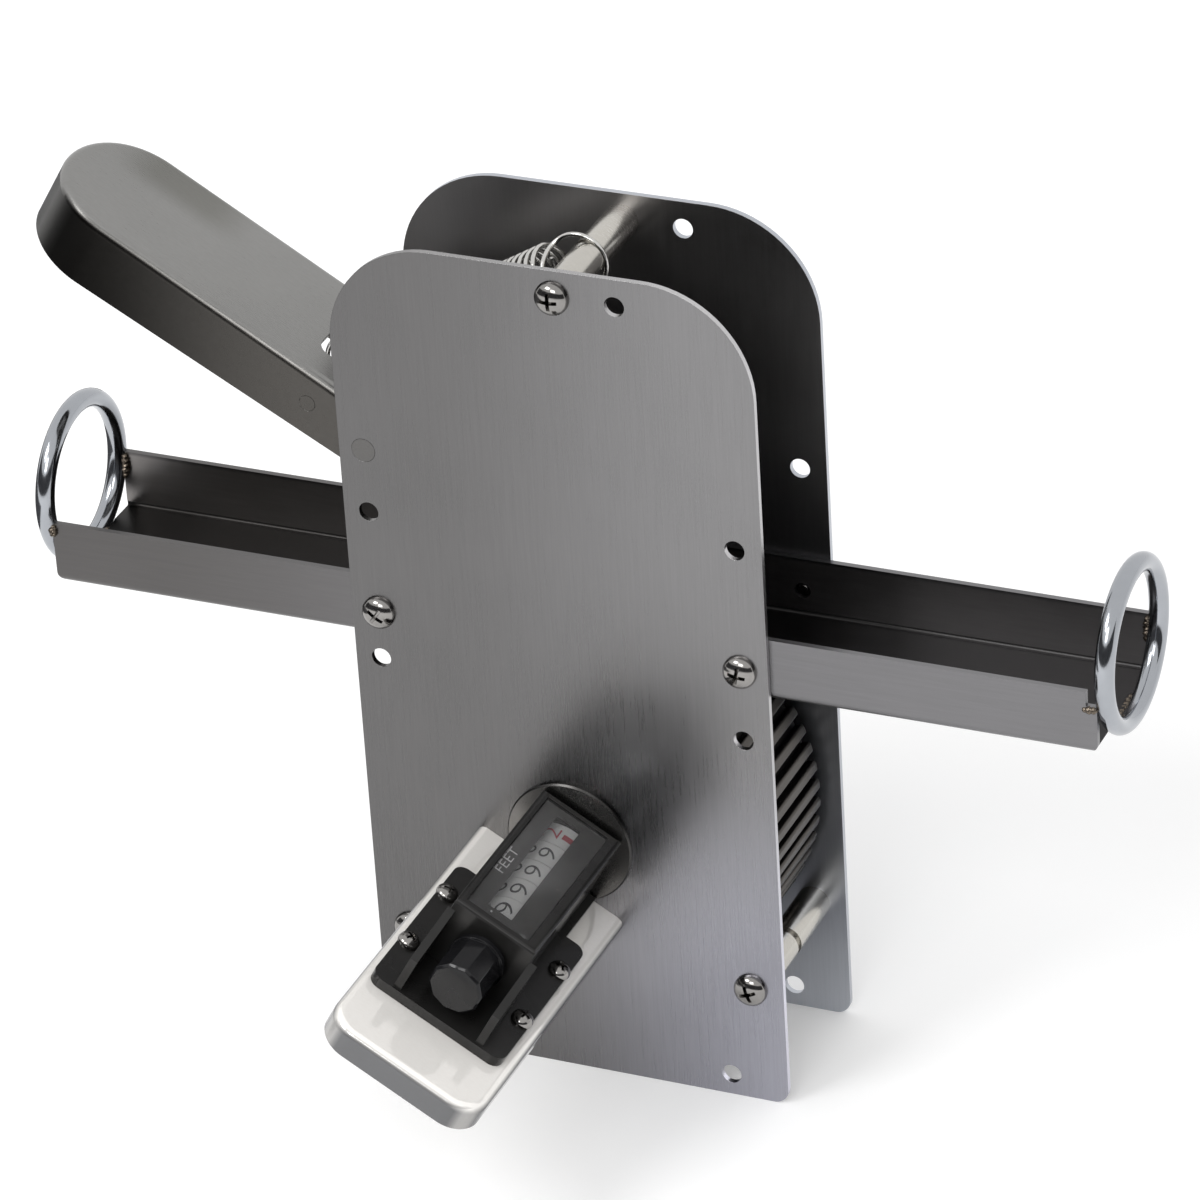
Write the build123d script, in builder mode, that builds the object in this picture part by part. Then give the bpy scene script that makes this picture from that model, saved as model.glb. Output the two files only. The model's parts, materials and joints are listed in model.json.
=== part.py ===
"""Rope and cable length counter on two upright plates.

Rope goes in at the left ring, along the guide trough, between a fluted measuring wheel and a
spring-loaded pressure wheel, and out at the right ring. One turn of the measuring wheel is one foot,
and its shaft drives a five-figure counter on a tilted shelf.

Millimetres. +X is the way the rope leaves, -Y is the counter's side, +Z is up. The origin is in the
middle of the footprint, on the surface that the two plates stand on.
"""

import os
from math import cos, hypot, pi, radians, sin, sqrt

from build123d import *

os.makedirs("parts", exist_ok=True)

# ---------------------------------------------------------------- driving dimensions
# side plates
plate_width = 107.0
plate_height = 219.5
plate_thickness = 1.5
plate_gap = 40.0  # clear width between the two plates
plate_top_radius = 27.0
plate_foot_radius = 4.0
mount_hole_diameter = 5.0

# frame screws and spacers
screw_diameter = 4.0
screw_head_diameter = 8.5
screw_head_height = 2.9
spacer_diameter = 8.5
spacer_thread_depth = 14.0
spacer_groove_width = 2.0
spacer_groove_depth = 0.75
top_spacer_x = 4.4
top_spacer_drop = 7.0  # below the plates' top edge
foot_spacer_x = 45.0
foot_spacer_z = 31.5

# measuring wheel and its shaft
axis_z = 65.2
rope_length_per_turn = 304.8  # one foot
flute_bite = 0.8  # how far the rope beds below the flute tips
flute_count = 60
flute_width = 2.3
flute_depth = 2.2
ridge_radius = 0.7
wheel_width = 34.0
wheel_rim = 5.0
wheel_web = 5.0
wheel_web_hole = 17.0
wheel_web_hole_count = 6
wheel_hub_diameter = 22.0
shaft_diameter = 8.0
bush_diameter = 12.0
bush_flange_diameter = 18.0
bush_flange = 2.0
bush_proud = 1.0
boss_diameter = 32.4  # round boss on the front plate, behind the counter
boss_thickness = 1.4
boss_edge = 0.4
grub_screw_diameter = 4.0
clip_diameter = 13.0
clip_thickness = 0.8
clip_groove_depth = 0.6

# guide trough and its rings
trough_length = 268.6
trough_top_z = 129.3
trough_height = 16.4
trough_thickness = 1.5
trough_bend_radius = 2.5  # outside of the bend
trough_corner_radius = 3.0  # bottom corners of the wall ends
end_notch_width = 2.7  # notch in the front wall at the exit end
end_notch_depth = 3.7
trough_slot_length = 34.0
trough_slot_corner = 2.0
trough_screw_z = 120.5
trough_screw_inset = 7.0  # from the plates' edges
ring_wire = 4.8
ring_mean_radius = 19.2
ring_overhang = 1.7  # ring centre beyond the trough's end
ring_lift = 17.6  # ring centre above the trough's top of floor

# press handle
pivot_x = -47.2
pivot_z = 164.4
pivot_pin_diameter = 6.0
handle_angle = 30.5  # degrees above level at rest
handle_travel = 24.0  # degrees from rest to fully pressed
handle_side_gap = 1.0  # flange to each plate
handle_sheet = 1.5
handle_bend_radius = 2.5
handle_straight = 80.5  # pivot to where the round end starts
handle_top = 8.0  # top face above the pivot's centre line
handle_side_at_pivot = 7.5  # flange below the centre line at the pivot
handle_side_at_grip = 9.8
press_arm = 53.0  # pivot to the pressure wheel's axle
press_arm_radius = 7.9
handle_roof_end = 33.0  # roof stops here on the wheel's side of the pivot
spring_slot_width = 18.0
spring_slot_start = -8.0
spring_slot_end = 23.5
spring_pin_diameter = 4.0
spring_pin_reach = 17.5  # pivot to the spring's pin
washer_diameter = 13.0
washer_thickness = 0.7

# pressure wheel
press_wheel_radius = 18.0
press_wheel_width = 32.0
press_wheel_hollow = 0.9
press_tyre = 4.0
press_axle_diameter = 6.0

# return spring
spring_wire = 1.2
spring_outer_diameter = 15.2
spring_pitch = 2.13
spring_hook_turn = 300.0  # degrees of each end loop

# counter shelf
shelf_tilt = 30.0
shelf_drop = 11.7  # counter axis above the shelf's top face
shelf_offset = 0.5  # shelf's middle to the right of the counter's
shelf_width = 42.4
shelf_length = 88.8
shelf_depth = 7.5
shelf_sheet = 1.5
shelf_bend_radius = 2.2
shelf_corner_radius = 8.0

# counter
base_width = 37.0
base_thickness = 2.8
base_start = 20.0  # flanges start this far from the front plate
base_length = 50.5
base_corner = 3.0
base_gap = 2.0  # counter's far end to the front plate
nose_length = 15.0
nose_width = 25.2
cheek_thickness = 2.0
cheek_high = 19.0
cheek_low = 12.0
housing_width = 22.6
housing_shift = -0.6  # housing's middle from the counter's shaft
housing_length = 52.0
housing_wall = 1.5
housing_top = 22.2
housing_corner = 1.2
window_border = 2.6
window_shift = -0.5  # window's middle from the housing's
window_end_border = 2.1
ledge_height = 20.0
ledge_thickness = 1.4
ledge_opening = 11.0
ledge_opening_length = 42.0
ledge_opening_shift = -1.0  # opening's middle from the counter's shaft
mask_thickness = 0.6
mask_slot_width = 6.6
mask_slot_length = 41.2
mask_slot_shift = -2.0  # slot's middle from the counter's shaft
window_thickness = 1.2
number_wheel_radius = 7.9
number_wheel_pitch = 8.0
number_wheel_gap = 0.3
number_wheel_count = 5
number_rim = 1.4
number_web = 2.0
number_hub_radius = 3.4
first_number_wheel = 11.2  # middle of the nearest number wheel to the front plate
counter_shaft_diameter = 4.0
drive_stub_diameter = 5.0
drive_stub_length = 8.0
drive_pin_diameter = 1.5
bracket_thickness = 1.8
bracket_width = 13.0
bracket_crown = 4.2
knob_across_flats = 13.0
knob_length = 13.4
knob_gap = 1.5  # housing to the knob
knob_sides = 10
knob_edge = 0.6
knob_skirt_diameter = 14.2
knob_skirt_length = 1.6
spindle_diameter = 3.0
spindle_depth = 9.5  # spindle in the knob
spindle_collar = 5.2
spindle_collar_thickness = 0.8
counter_screw_diameter = 3.0
counter_screw_head = 5.6
counter_screw_head_height = 2.2
counter_screw_spacing_across = 32.4
counter_screw_spacing_along = 22.0
counter_screw_start = 32.0
nut_across_flats = 5.5
nut_height = 2.4

# clearances
running = 0.05  # radial, shaft in bore
seat = 0.05  # radial, fixed pin, screw or bush in its hole
loose = 0.3  # between pieces that move apart
side_play = 0.1  # guide trough to each plate

# ---------------------------------------------------------------- places worked out from them
front_face = plate_gap / 2 + plate_thickness  # plates' middle to the front plate's outer face
front_reach = front_face + shelf_length
rear_reach = front_face + screw_head_height
middle = (front_reach - rear_reach) / 2  # the plane halfway between the plates
screw_hole = screw_diameter / 2 + seat
plate_edge = plate_width / 2

top_spacer_z = plate_height - top_spacer_drop
tip_radius = rope_length_per_turn / (2 * pi) + flute_bite
rim_inside = tip_radius - flute_depth - wheel_rim
web_hole_circle = (rim_inside + wheel_hub_diameter / 2) / 2
shaft_hole = shaft_diameter / 2 + running
bush_seat = bush_diameter / 2 + seat
hub_length = 2 * (plate_gap / 2 - bush_flange - loose)

trough_width = plate_gap - 2 * side_play
trough_inside = trough_width - 2 * trough_thickness
trough_bottom_z = trough_top_z - trough_height
trough_floor_z = trough_bottom_z + trough_thickness
ring_z = trough_floor_z + ring_lift
ring_centre_x = trough_length / 2 + ring_overhang
trough_screw_x = plate_edge - trough_screw_inset

lean = radians(handle_angle)
handle_width = plate_gap - 2 * handle_side_gap
handle_side = handle_top + handle_side_at_grip
end_radius = handle_width / 2
pivot_hole = pivot_pin_diameter / 2 + running
arm_top = handle_top - handle_bend_radius  # arms' top edge, below the roof's bend
arm_end = -press_arm - sqrt(press_arm_radius**2 - arm_top**2)

tilt = radians(shelf_tilt)
flange_top = base_thickness
counter_near = front_face + base_gap + housing_length  # near end of the window housing
base_end = front_face + base_start + base_length  # near end of the base
far_screw_row = front_face + counter_screw_start
screw_rows = (far_screw_row, far_screw_row + counter_screw_spacing_along)


def upright(y):
    """Upright plane y behind the plates' middle plane: local x is X, local y is Z, normal is -Y."""
    return Plane.XZ.offset(-(middle + y))


def across(x, y, z):
    """Plane square to a cross shaft at x, z, facing the rear: extruding goes towards +Y."""
    return Plane(origin=(x, middle + y, z), x_dir=(1, 0, 0), z_dir=(0, 1, 0))


def lever_top(height):
    """Plane along the handle, height above its centre line: local x runs out to the grip."""
    origin = (pivot_x + height * sin(lean), middle, pivot_z + height * cos(lean))
    return Plane(origin=origin, x_dir=(-cos(lean), 0, sin(lean)), z_dir=(sin(lean), 0, cos(lean)))


def lever_side(y):
    """Plane square to the pivot, y behind the middle: local x runs out to the grip, local y up."""
    return Plane(origin=(pivot_x, middle + y, pivot_z), x_dir=(-cos(lean), 0, sin(lean)), z_dir=(0, 1, 0))


def lever_point(reach, height=0.0):
    """X and Z of a point on the handle, reach out from the pivot and height above the centre line."""
    x = pivot_x - reach * cos(lean) + height * sin(lean)
    z = pivot_z + reach * sin(lean) + height * cos(lean)
    return x, z


def level(height):
    """Plane along the tilted shelf, height above its top face: local x across, local y is Y."""
    lift = height - shelf_drop
    origin = (lift * sin(tilt), middle, axis_z + lift * cos(tilt))
    return Plane(origin=origin, x_dir=(cos(tilt), 0, -sin(tilt)), z_dir=(sin(tilt), 0, cos(tilt)))


def counter_end(y):
    """Plane square to the counter's shaft, y in front of the plates' middle, facing the rear."""
    return Plane(origin=(0, middle - y, axis_z), x_dir=(-cos(tilt), 0, sin(tilt)), z_dir=(0, 1, 0))


def cheek_side(s):
    """Plane along the counter's side, s across from its shaft: local x is Y, local y is height."""
    drop = shelf_drop
    origin = (s * cos(tilt) - drop * sin(tilt), middle, axis_z - s * sin(tilt) - drop * cos(tilt))
    return Plane(origin=origin, x_dir=(0, 1, 0), z_dir=(cos(tilt), 0, -sin(tilt)))


# ---------------------------------------------------------------- side plates
spare_holes = [
    (19.9, top_spacer_z),
    (plate_edge - 6.8, 153.0),
    (plate_edge - 7.0, 101.6),
    (6.6 - plate_edge, 107.8),
    (6.4 - plate_edge, 147.8),
    (plate_edge - 14.7, 5.8),
    (14.7 - plate_edge, 5.8),
]
frame_screws = [
    (top_spacer_x, top_spacer_z),
    (-foot_spacer_x, foot_spacer_z),
    (foot_spacer_x, foot_spacer_z),
]
trough_screws = [(-trough_screw_x, trough_screw_z), (trough_screw_x, trough_screw_z)]


# both plates are cut from this blank
with BuildSketch() as plate_blank:
    with Locations((0, plate_height / 2)):
        Rectangle(plate_width, plate_height)
    fillet(plate_blank.vertices().group_by(Axis.Y)[-1], plate_top_radius)
    fillet(plate_blank.vertices().group_by(Axis.Y)[0], plate_foot_radius)
    with Locations(*spare_holes):
        Circle(mount_hole_diameter / 2, mode=Mode.SUBTRACT)
    with Locations(*frame_screws, *trough_screws):
        Circle(screw_hole, mode=Mode.SUBTRACT)
    with Locations((pivot_x, pivot_z)):
        Circle(pivot_pin_diameter / 2 + seat, mode=Mode.SUBTRACT)
    with Locations((0, axis_z)):
        Circle(bush_seat, mode=Mode.SUBTRACT)

with BuildPart() as front_plate:
    with BuildSketch(upright(-plate_gap / 2)):
        add(plate_blank.sketch)
    extrude(amount=plate_thickness)

with BuildPart() as rear_plate:
    with BuildSketch(upright(front_face)):
        add(plate_blank.sketch)
    extrude(amount=plate_thickness)

# ---------------------------------------------------------------- guide trough
slot_reach = trough_inside / 2 - 0.8

with BuildPart() as guide_trough:
    with BuildSketch(Plane.YZ.offset(-trough_length / 2)) as section:
        with Locations((middle, (trough_bottom_z + trough_top_z) / 2)):
            Rectangle(trough_width, trough_height)
        fillet(section.vertices().group_by(Axis.Y)[0], trough_bend_radius)
    extrude(amount=trough_length)
    with BuildSketch(Plane.YZ.offset(-trough_length / 2)) as hollow:
        with Locations((middle, (trough_floor_z + trough_top_z) / 2)):
            Rectangle(trough_inside, trough_height - trough_thickness)
        fillet(hollow.vertices().group_by(Axis.Y)[0], trough_bend_radius - trough_thickness)
    extrude(amount=trough_length, mode=Mode.SUBTRACT)
    # bottom corners rounded off at both ends
    with BuildSketch(Plane.XZ.offset(-middle)) as side_view:
        with Locations((0, (trough_bottom_z + trough_top_z) / 2)):
            Rectangle(trough_length, trough_height)
        fillet(side_view.vertices().group_by(Axis.Y)[0], trough_corner_radius)
    extrude(amount=trough_width, both=True, mode=Mode.INTERSECT)
    # small notch in the front wall beside the exit ring
    with BuildSketch(upright(-trough_width / 2 + trough_thickness)):
        with Locations((trough_length / 2, trough_top_z)):
            Rectangle(2 * end_notch_width, 2 * end_notch_depth)
    extrude(amount=trough_thickness, mode=Mode.SUBTRACT)
    # slot in the floor that the measuring wheel stands up through
    with BuildSketch(Plane.XY.offset(trough_bottom_z)):
        with Locations((0, middle)):
            RectangleRounded(trough_slot_length, 2 * slot_reach, trough_slot_corner)
    extrude(amount=trough_thickness, mode=Mode.SUBTRACT)
    # tapped holes for the four screws that hold it between the plates
    with BuildSketch(upright(trough_width / 2)):
        with Locations(*trough_screws):
            Circle(screw_hole)
    extrude(amount=trough_width, mode=Mode.SUBTRACT)
    # wall and floor ends coped round the ring wire
    for ring_x in (-ring_centre_x, ring_centre_x):
        with BuildSketch(Plane.XZ.offset(-middle)):
            with Locations((ring_x, ring_z + ring_mean_radius)):
                Circle(ring_wire / 2 + seat)
        revolve(axis=Axis((ring_x, middle, ring_z), (1, 0, 0)), mode=Mode.SUBTRACT)

with BuildPart() as entry_ring:
    with BuildSketch(Plane.XZ.offset(-middle)):
        with Locations((-ring_centre_x, ring_z + ring_mean_radius)):
            Circle(ring_wire / 2)
    revolve(axis=Axis((-ring_centre_x, middle, ring_z), (1, 0, 0)))

with BuildPart() as exit_ring:
    with BuildSketch(Plane.XZ.offset(-middle)):
        with Locations((ring_centre_x, ring_z + ring_mean_radius)):
            Circle(ring_wire / 2)
    revolve(axis=Axis((ring_centre_x, middle, ring_z), (1, 0, 0)))


# ---------------------------------------------------------------- spacers and frame screws
def spacer(x, z):
    """Turned spacer between the plates, grooved at its middle and tapped at both ends."""
    radius = spacer_diameter / 2
    with BuildPart() as rod:
        with BuildSketch(across(x, -plate_gap / 2, z)):
            Circle(radius)
        extrude(amount=plate_gap)
        with BuildSketch(across(x, -spacer_groove_width / 2, z)):
            Circle(radius)
            Circle(radius - spacer_groove_depth, mode=Mode.SUBTRACT)
        extrude(amount=spacer_groove_width, mode=Mode.SUBTRACT)
        for start in (-plate_gap / 2, plate_gap / 2 - spacer_thread_depth):
            with BuildSketch(across(x, start, z)):
                Circle(screw_hole)
            extrude(amount=spacer_thread_depth, mode=Mode.SUBTRACT)
    return rod.part


def pan_screw(head_plane, spots, diameter, length, head_diameter, head_height):
    """Pan head cross recess screws, heads up from head_plane and shanks down, one at each spot."""
    head_radius = head_diameter / 2
    edge = head_height * 0.4
    flat = head_radius * 0.55
    shoulder = (head_radius * 0.9, head_height * 0.83)
    with BuildPart() as screws:
        for x, y in spots:
            origin = head_plane.from_local_coords((x, y, 0))
            spot = Plane(origin, x_dir=head_plane.x_dir, z_dir=head_plane.z_dir)
            turning = Plane(spot.origin, x_dir=spot.x_dir, z_dir=-spot.y_dir)
            with BuildSketch(turning):
                with BuildLine():
                    Polyline((0, head_height), (0, -length), (diameter / 2, -length), (diameter / 2, 0),
                             (head_radius, 0), (head_radius, edge))
                    ThreePointArc((head_radius, edge), shoulder, (flat, head_height))
                    Line((flat, head_height), (0, head_height))
                make_face()
            revolve(axis=Axis(spot.origin, spot.z_dir))
            with BuildSketch(spot.offset(head_height)):
                Rectangle(head_diameter * 0.5, head_diameter * 0.12)
                Rectangle(head_diameter * 0.12, head_diameter * 0.5)
            extrude(amount=-head_height * 0.55, mode=Mode.SUBTRACT)
    return screws.part


with BuildPart() as top_spacer:
    add(spacer(top_spacer_x, top_spacer_z))

with BuildPart() as left_foot_spacer:
    add(spacer(-foot_spacer_x, foot_spacer_z))

with BuildPart() as right_foot_spacer:
    add(spacer(foot_spacer_x, foot_spacer_z))

front_heads = Plane(origin=(0, middle - front_face, 0), x_dir=(1, 0, 0), z_dir=(0, -1, 0))
rear_heads = Plane(origin=(0, middle + front_face, 0), x_dir=(-1, 0, 0), z_dir=(0, 1, 0))
long_screw = plate_thickness + spacer_thread_depth - 2.0
short_screw = plate_thickness + side_play + trough_thickness - 0.4


def frame_screw_set(heads, side):
    """The five screws of one plate: three into the spacers and two into the trough's wall."""
    with BuildPart() as screw_set:
        add(pan_screw(heads, [(side * x, z) for x, z in frame_screws], screw_diameter, long_screw,
                      screw_head_diameter, screw_head_height))
        add(pan_screw(heads, [(side * x, z) for x, z in trough_screws], screw_diameter, short_screw,
                      screw_head_diameter, screw_head_height))
    return screw_set.part


with BuildPart() as front_frame_screws:
    add(frame_screw_set(front_heads, 1))

with BuildPart() as rear_frame_screws:
    add(frame_screw_set(rear_heads, -1))

# ---------------------------------------------------------------- measuring wheel
with BuildPart() as measuring_wheel:
    with BuildSketch(across(0, -wheel_width / 2, axis_z)) as rim_section:
        Circle(tip_radius)
        Circle(rim_inside, mode=Mode.SUBTRACT)
        with PolarLocations(tip_radius, flute_count):
            Rectangle(2 * flute_depth, flute_width, mode=Mode.SUBTRACT)
        ridge_corners = rim_section.vertices().filter_by(
            lambda corner: hypot(corner.X, corner.Y) > tip_radius - 0.1
        )
        fillet(ridge_corners, ridge_radius)
    extrude(amount=wheel_width)
    with BuildSketch(across(0, -wheel_web / 2, axis_z)):
        Circle(rim_inside + wheel_rim / 2)
        with PolarLocations(web_hole_circle, wheel_web_hole_count):
            Circle(wheel_web_hole / 2, mode=Mode.SUBTRACT)
    extrude(amount=wheel_web)
    with BuildSketch(across(0, -hub_length / 2, axis_z)):
        Circle(wheel_hub_diameter / 2)
    extrude(amount=hub_length)
    with BuildSketch(across(0, -hub_length / 2, axis_z)):
        Circle(shaft_diameter / 2 + seat)
    extrude(amount=hub_length, mode=Mode.SUBTRACT)
    # tapped hole for the grub screw, between the web and the hub's rear end
    with BuildSketch(Plane.XY.offset(axis_z)):
        with Locations((0, middle + hub_length / 3)):
            Circle(grub_screw_diameter / 2 + seat)
    extrude(amount=wheel_hub_diameter / 2 + 1, mode=Mode.SUBTRACT)

with BuildPart() as wheel_grub_screw:
    with BuildSketch(Plane.XY.offset(axis_z + shaft_diameter / 2 + seat)):
        with Locations((0, middle + hub_length / 3)):
            Circle(grub_screw_diameter / 2)
    extrude(amount=(wheel_hub_diameter - shaft_diameter) / 2 - 1.5)
    with BuildSketch(Plane(wheel_grub_screw.faces().sort_by(Axis.Z)[-1])):
        RegularPolygon(grub_screw_diameter / 4, 6)
    extrude(amount=-2, mode=Mode.SUBTRACT)

shaft_front = -(front_face + bush_proud - 0.2)
shaft_rear = front_face + bush_proud + 0.3 + clip_thickness + 0.5
clip_start = front_face + bush_proud + 0.3
stub_bore = drive_stub_diameter / 2 + seat
drive_pin_y = -(plate_gap / 2 + bush_proud / 2)

with BuildPart() as wheel_shaft:
    with BuildSketch(across(0, shaft_front, axis_z)):
        Circle(shaft_diameter / 2)
    extrude(amount=shaft_rear - shaft_front)
    with BuildSketch(across(0, shaft_front, axis_z)):
        Circle(stub_bore)
    extrude(amount=drive_stub_length + 0.5, mode=Mode.SUBTRACT)
    with BuildSketch(Plane.XY.offset(axis_z - shaft_diameter)):
        with Locations((0, middle + drive_pin_y)):
            Circle(drive_pin_diameter / 2 + seat)
    extrude(amount=2 * shaft_diameter, mode=Mode.SUBTRACT)
    with BuildSketch(across(0, clip_start, axis_z)):
        Circle(shaft_diameter / 2)
        Circle(shaft_diameter / 2 - clip_groove_depth, mode=Mode.SUBTRACT)
    extrude(amount=clip_thickness, mode=Mode.SUBTRACT)

with BuildPart() as shaft_clip:
    with BuildSketch(across(0, clip_start + seat / 2, axis_z)):
        Circle(clip_diameter / 2)
        Circle(shaft_diameter / 2 - clip_groove_depth + seat, mode=Mode.SUBTRACT)
        with Locations((0, clip_diameter / 2)):
            Rectangle(shaft_diameter * 0.7, clip_diameter, mode=Mode.SUBTRACT)
    extrude(amount=clip_thickness - seat)


def flanged_bush(side):
    """Bronze bush pressed into a plate from inside: side is -1 at the front and 1 at the rear."""
    with BuildPart() as bush:
        with BuildSketch(across(0, side * plate_gap / 2, axis_z)):
            Circle(bush_flange_diameter / 2)
            Circle(shaft_hole, mode=Mode.SUBTRACT)
        extrude(amount=-side * bush_flange)
        with BuildSketch(across(0, side * plate_gap / 2, axis_z)):
            Circle(bush_diameter / 2)
            Circle(shaft_hole, mode=Mode.SUBTRACT)
        extrude(amount=side * (plate_thickness + bush_proud))
    return bush.part


with BuildPart() as shaft_boss:
    with BuildSketch(across(0, -front_face, axis_z)):
        Circle(boss_diameter / 2)
        Circle(bush_seat, mode=Mode.SUBTRACT)
    extrude(amount=-boss_thickness)
    chamfer(shaft_boss.faces().sort_by(Axis.Y)[0].outer_wire().edges(), boss_edge)
    # flat side that stands on the shelf
    with BuildSketch(level(0)):
        with Locations((0, -front_face)):
            Rectangle(boss_diameter, 4 * boss_thickness)
    extrude(amount=-boss_diameter, mode=Mode.SUBTRACT)

with BuildPart() as front_bush:
    add(flanged_bush(-1))

with BuildPart() as rear_bush:
    add(flanged_bush(1))

# ---------------------------------------------------------------- press handle
with BuildPart() as press_handle:
    with BuildSketch(lever_top(handle_top)):
        with Locations(((handle_straight - press_arm) / 2, 0)):
            Rectangle(handle_straight + press_arm, handle_width)
        with Locations((handle_straight, 0)):
            Circle(end_radius)
    extrude(amount=-handle_side)
    roof_rim = press_handle.faces().sort_by(Axis((0, 0, 0), tuple(lever_top(0).z_dir)))[-1].edges()
    fillet(roof_rim.filter_by(lambda rim: rim.center().X < pivot_x), handle_bend_radius)
    # hollow underside, open at the pressure wheel's end
    with BuildSketch(lever_top(handle_top - handle_sheet)):
        with Locations(((handle_straight - press_arm) / 2 - 1, 0)):
            Rectangle(handle_straight + press_arm + 2, handle_width - 2 * handle_sheet)
        with Locations((handle_straight, 0)):
            Circle(end_radius - handle_sheet)
    extrude(amount=-handle_side, mode=Mode.SUBTRACT)
    # side view: flanges taper, the roof stops short and the arms end round the axle
    with BuildSketch(lever_side(-handle_width)):
        with BuildLine():
            Polyline(
                (handle_straight + end_radius + 1, handle_top + 1),
                (-handle_roof_end, handle_top + 1),
                (-handle_roof_end, arm_top),
                (arm_end, arm_top),
            )
            ThreePointArc((arm_end, arm_top), (-press_arm - press_arm_radius, 0),
                          (-press_arm, -press_arm_radius))
            Polyline(
                (-press_arm, -press_arm_radius),
                (0, -handle_side_at_pivot),
                (handle_straight, -handle_side_at_grip),
                (handle_straight + end_radius + 1, -handle_side_at_grip),
                (handle_straight + end_radius + 1, handle_top + 1),
            )
        make_face()
        with Locations((0, 0)):
            Circle(pivot_hole, mode=Mode.SUBTRACT)
        with Locations((-press_arm, 0)):
            Circle(press_axle_diameter / 2 + seat, mode=Mode.SUBTRACT)
        with Locations((spring_pin_reach, 0)):
            Circle(spring_pin_diameter / 2 + seat, mode=Mode.SUBTRACT)
    extrude(amount=2 * handle_width, mode=Mode.INTERSECT)
    # slot in the roof that the spring passes through
    with BuildSketch(lever_top(handle_top)):
        with Locations(((spring_slot_start + spring_slot_end) / 2, 0)):
            RectangleRounded(spring_slot_end - spring_slot_start, spring_slot_width, 3)
    extrude(amount=-2 * handle_sheet, mode=Mode.SUBTRACT)

with BuildPart() as lever_pivot_pin:
    with BuildSketch(across(pivot_x, -front_face, pivot_z)):
        Circle(pivot_pin_diameter / 2)
    extrude(amount=2 * front_face)

with BuildPart() as pivot_washers:
    for washer_y in (-plate_gap / 2, plate_gap / 2 - washer_thickness):
        with BuildSketch(across(pivot_x, washer_y, pivot_z)):
            Circle(washer_diameter / 2)
            Circle(pivot_pin_diameter / 2 + seat, mode=Mode.SUBTRACT)
        extrude(amount=washer_thickness)

spring_pin_x, spring_pin_z = lever_point(spring_pin_reach)
with BuildPart() as spring_pin:
    with BuildSketch(across(spring_pin_x, -handle_width / 2, spring_pin_z)):
        Circle(spring_pin_diameter / 2)
    extrude(amount=handle_width)

axle_x, axle_z = lever_point(-press_arm)
with BuildPart() as pressure_wheel_axle:
    with BuildSketch(across(axle_x, -handle_width / 2, axle_z)):
        Circle(press_axle_diameter / 2)
    extrude(amount=handle_width)

with BuildPart() as pressure_wheel:
    with BuildSketch(across(axle_x, -press_wheel_width / 2, axle_z)):
        Circle(press_wheel_radius - press_tyre)
        Circle(press_axle_diameter / 2 + running, mode=Mode.SUBTRACT)
    extrude(amount=press_wheel_width)

with BuildPart() as pressure_wheel_tyre:
    tyre_plane = Plane(origin=(axle_x, middle, axle_z), x_dir=(0, 1, 0), z_dir=(1, 0, 0))
    with BuildSketch(tyre_plane):
        with BuildLine():
            inner = press_wheel_radius - press_tyre + seat
            half = press_wheel_width / 2
            Polyline((half, press_wheel_radius), (half, inner), (-half, inner), (-half, press_wheel_radius))
            ThreePointArc((-half, press_wheel_radius), (0, press_wheel_radius - press_wheel_hollow),
                          (half, press_wheel_radius))
        make_face()
    revolve(axis=Axis((axle_x, middle, axle_z), (0, 1, 0)))

# ---------------------------------------------------------------- return spring
coil_radius = (spring_outer_diameter - spring_wire) / 2
groove_radius = spacer_diameter / 2 - spacer_groove_depth
hook_top = Vector(top_spacer_x, middle, top_spacer_z)
hook_foot = Vector(spring_pin_x, middle, spring_pin_z)
pull = (hook_foot - hook_top).normalized()
wide = Vector(-pull.Z, 0, pull.X)  # square to the pull, in the plane of the end loops
side = Vector(0, 1, 0)
slack = coil_radius - spring_wire / 2 - seat
top_loop = hook_top + pull * (slack - groove_radius)
foot_loop = hook_foot - pull * (slack - spring_pin_diameter / 2)
rise = 0.9 * coil_radius  # loop centre to the first coil
coil_length = (foot_loop - top_loop).length - 2 * rise
half_turns = 2 * round(coil_length / spring_pitch)
pitch_slope = coil_length / (half_turns / 2) / (2 * pi * coil_radius)


def coil_point(turn):
    """Point of the coil and its direction there, turn in radians from the first coil's side."""
    along = top_loop + pull * (rise + coil_length * turn / (half_turns * pi))
    point = along + (wide * sin(turn) - side * cos(turn)) * coil_radius
    way = (wide * cos(turn) + side * sin(turn)) + pull * pitch_slope
    return point, way.normalized()


def loop_point(centre, angle, end):
    """Point of an end loop and its direction: angle from where it leaves the coil, end -1 or 1."""
    point = centre + (wide * cos(angle) + pull * sin(angle)) * (end * coil_radius)
    way = (pull * cos(angle) - wide * sin(angle)) * end
    return point, way.normalized()


def biarc(start, finish):
    """Two arcs that leave start and reach finish, each given as a point and its direction."""
    p0, t0 = start
    p1, t1 = finish
    gap = p1 - p0
    both = t0 + t1
    spread = 2 * (1 - t0.dot(t1))
    reach = (-gap.dot(both) + sqrt(gap.dot(both) ** 2 + spread * gap.dot(gap))) / spread
    joint = (p0 + p1 + (t0 - t1) * reach) * 0.5
    way = (joint - p0 - t0 * reach).normalized()
    TangentArc(p0, joint, tangent=t0)
    TangentArc(joint, p1, tangent=way)


hook_turn = radians(spring_hook_turn)
stops = [loop_point(top_loop, hook_turn * step / 3, -1) for step in (3, 2, 1, 0)]
stops = [(point, way * -1) for point, way in stops]
stops += [coil_point(pi * step) for step in range(half_turns + 1)]
stops += [loop_point(foot_loop, hook_turn * step / 3, 1) for step in (0, 1, 2, 3)]

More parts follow.
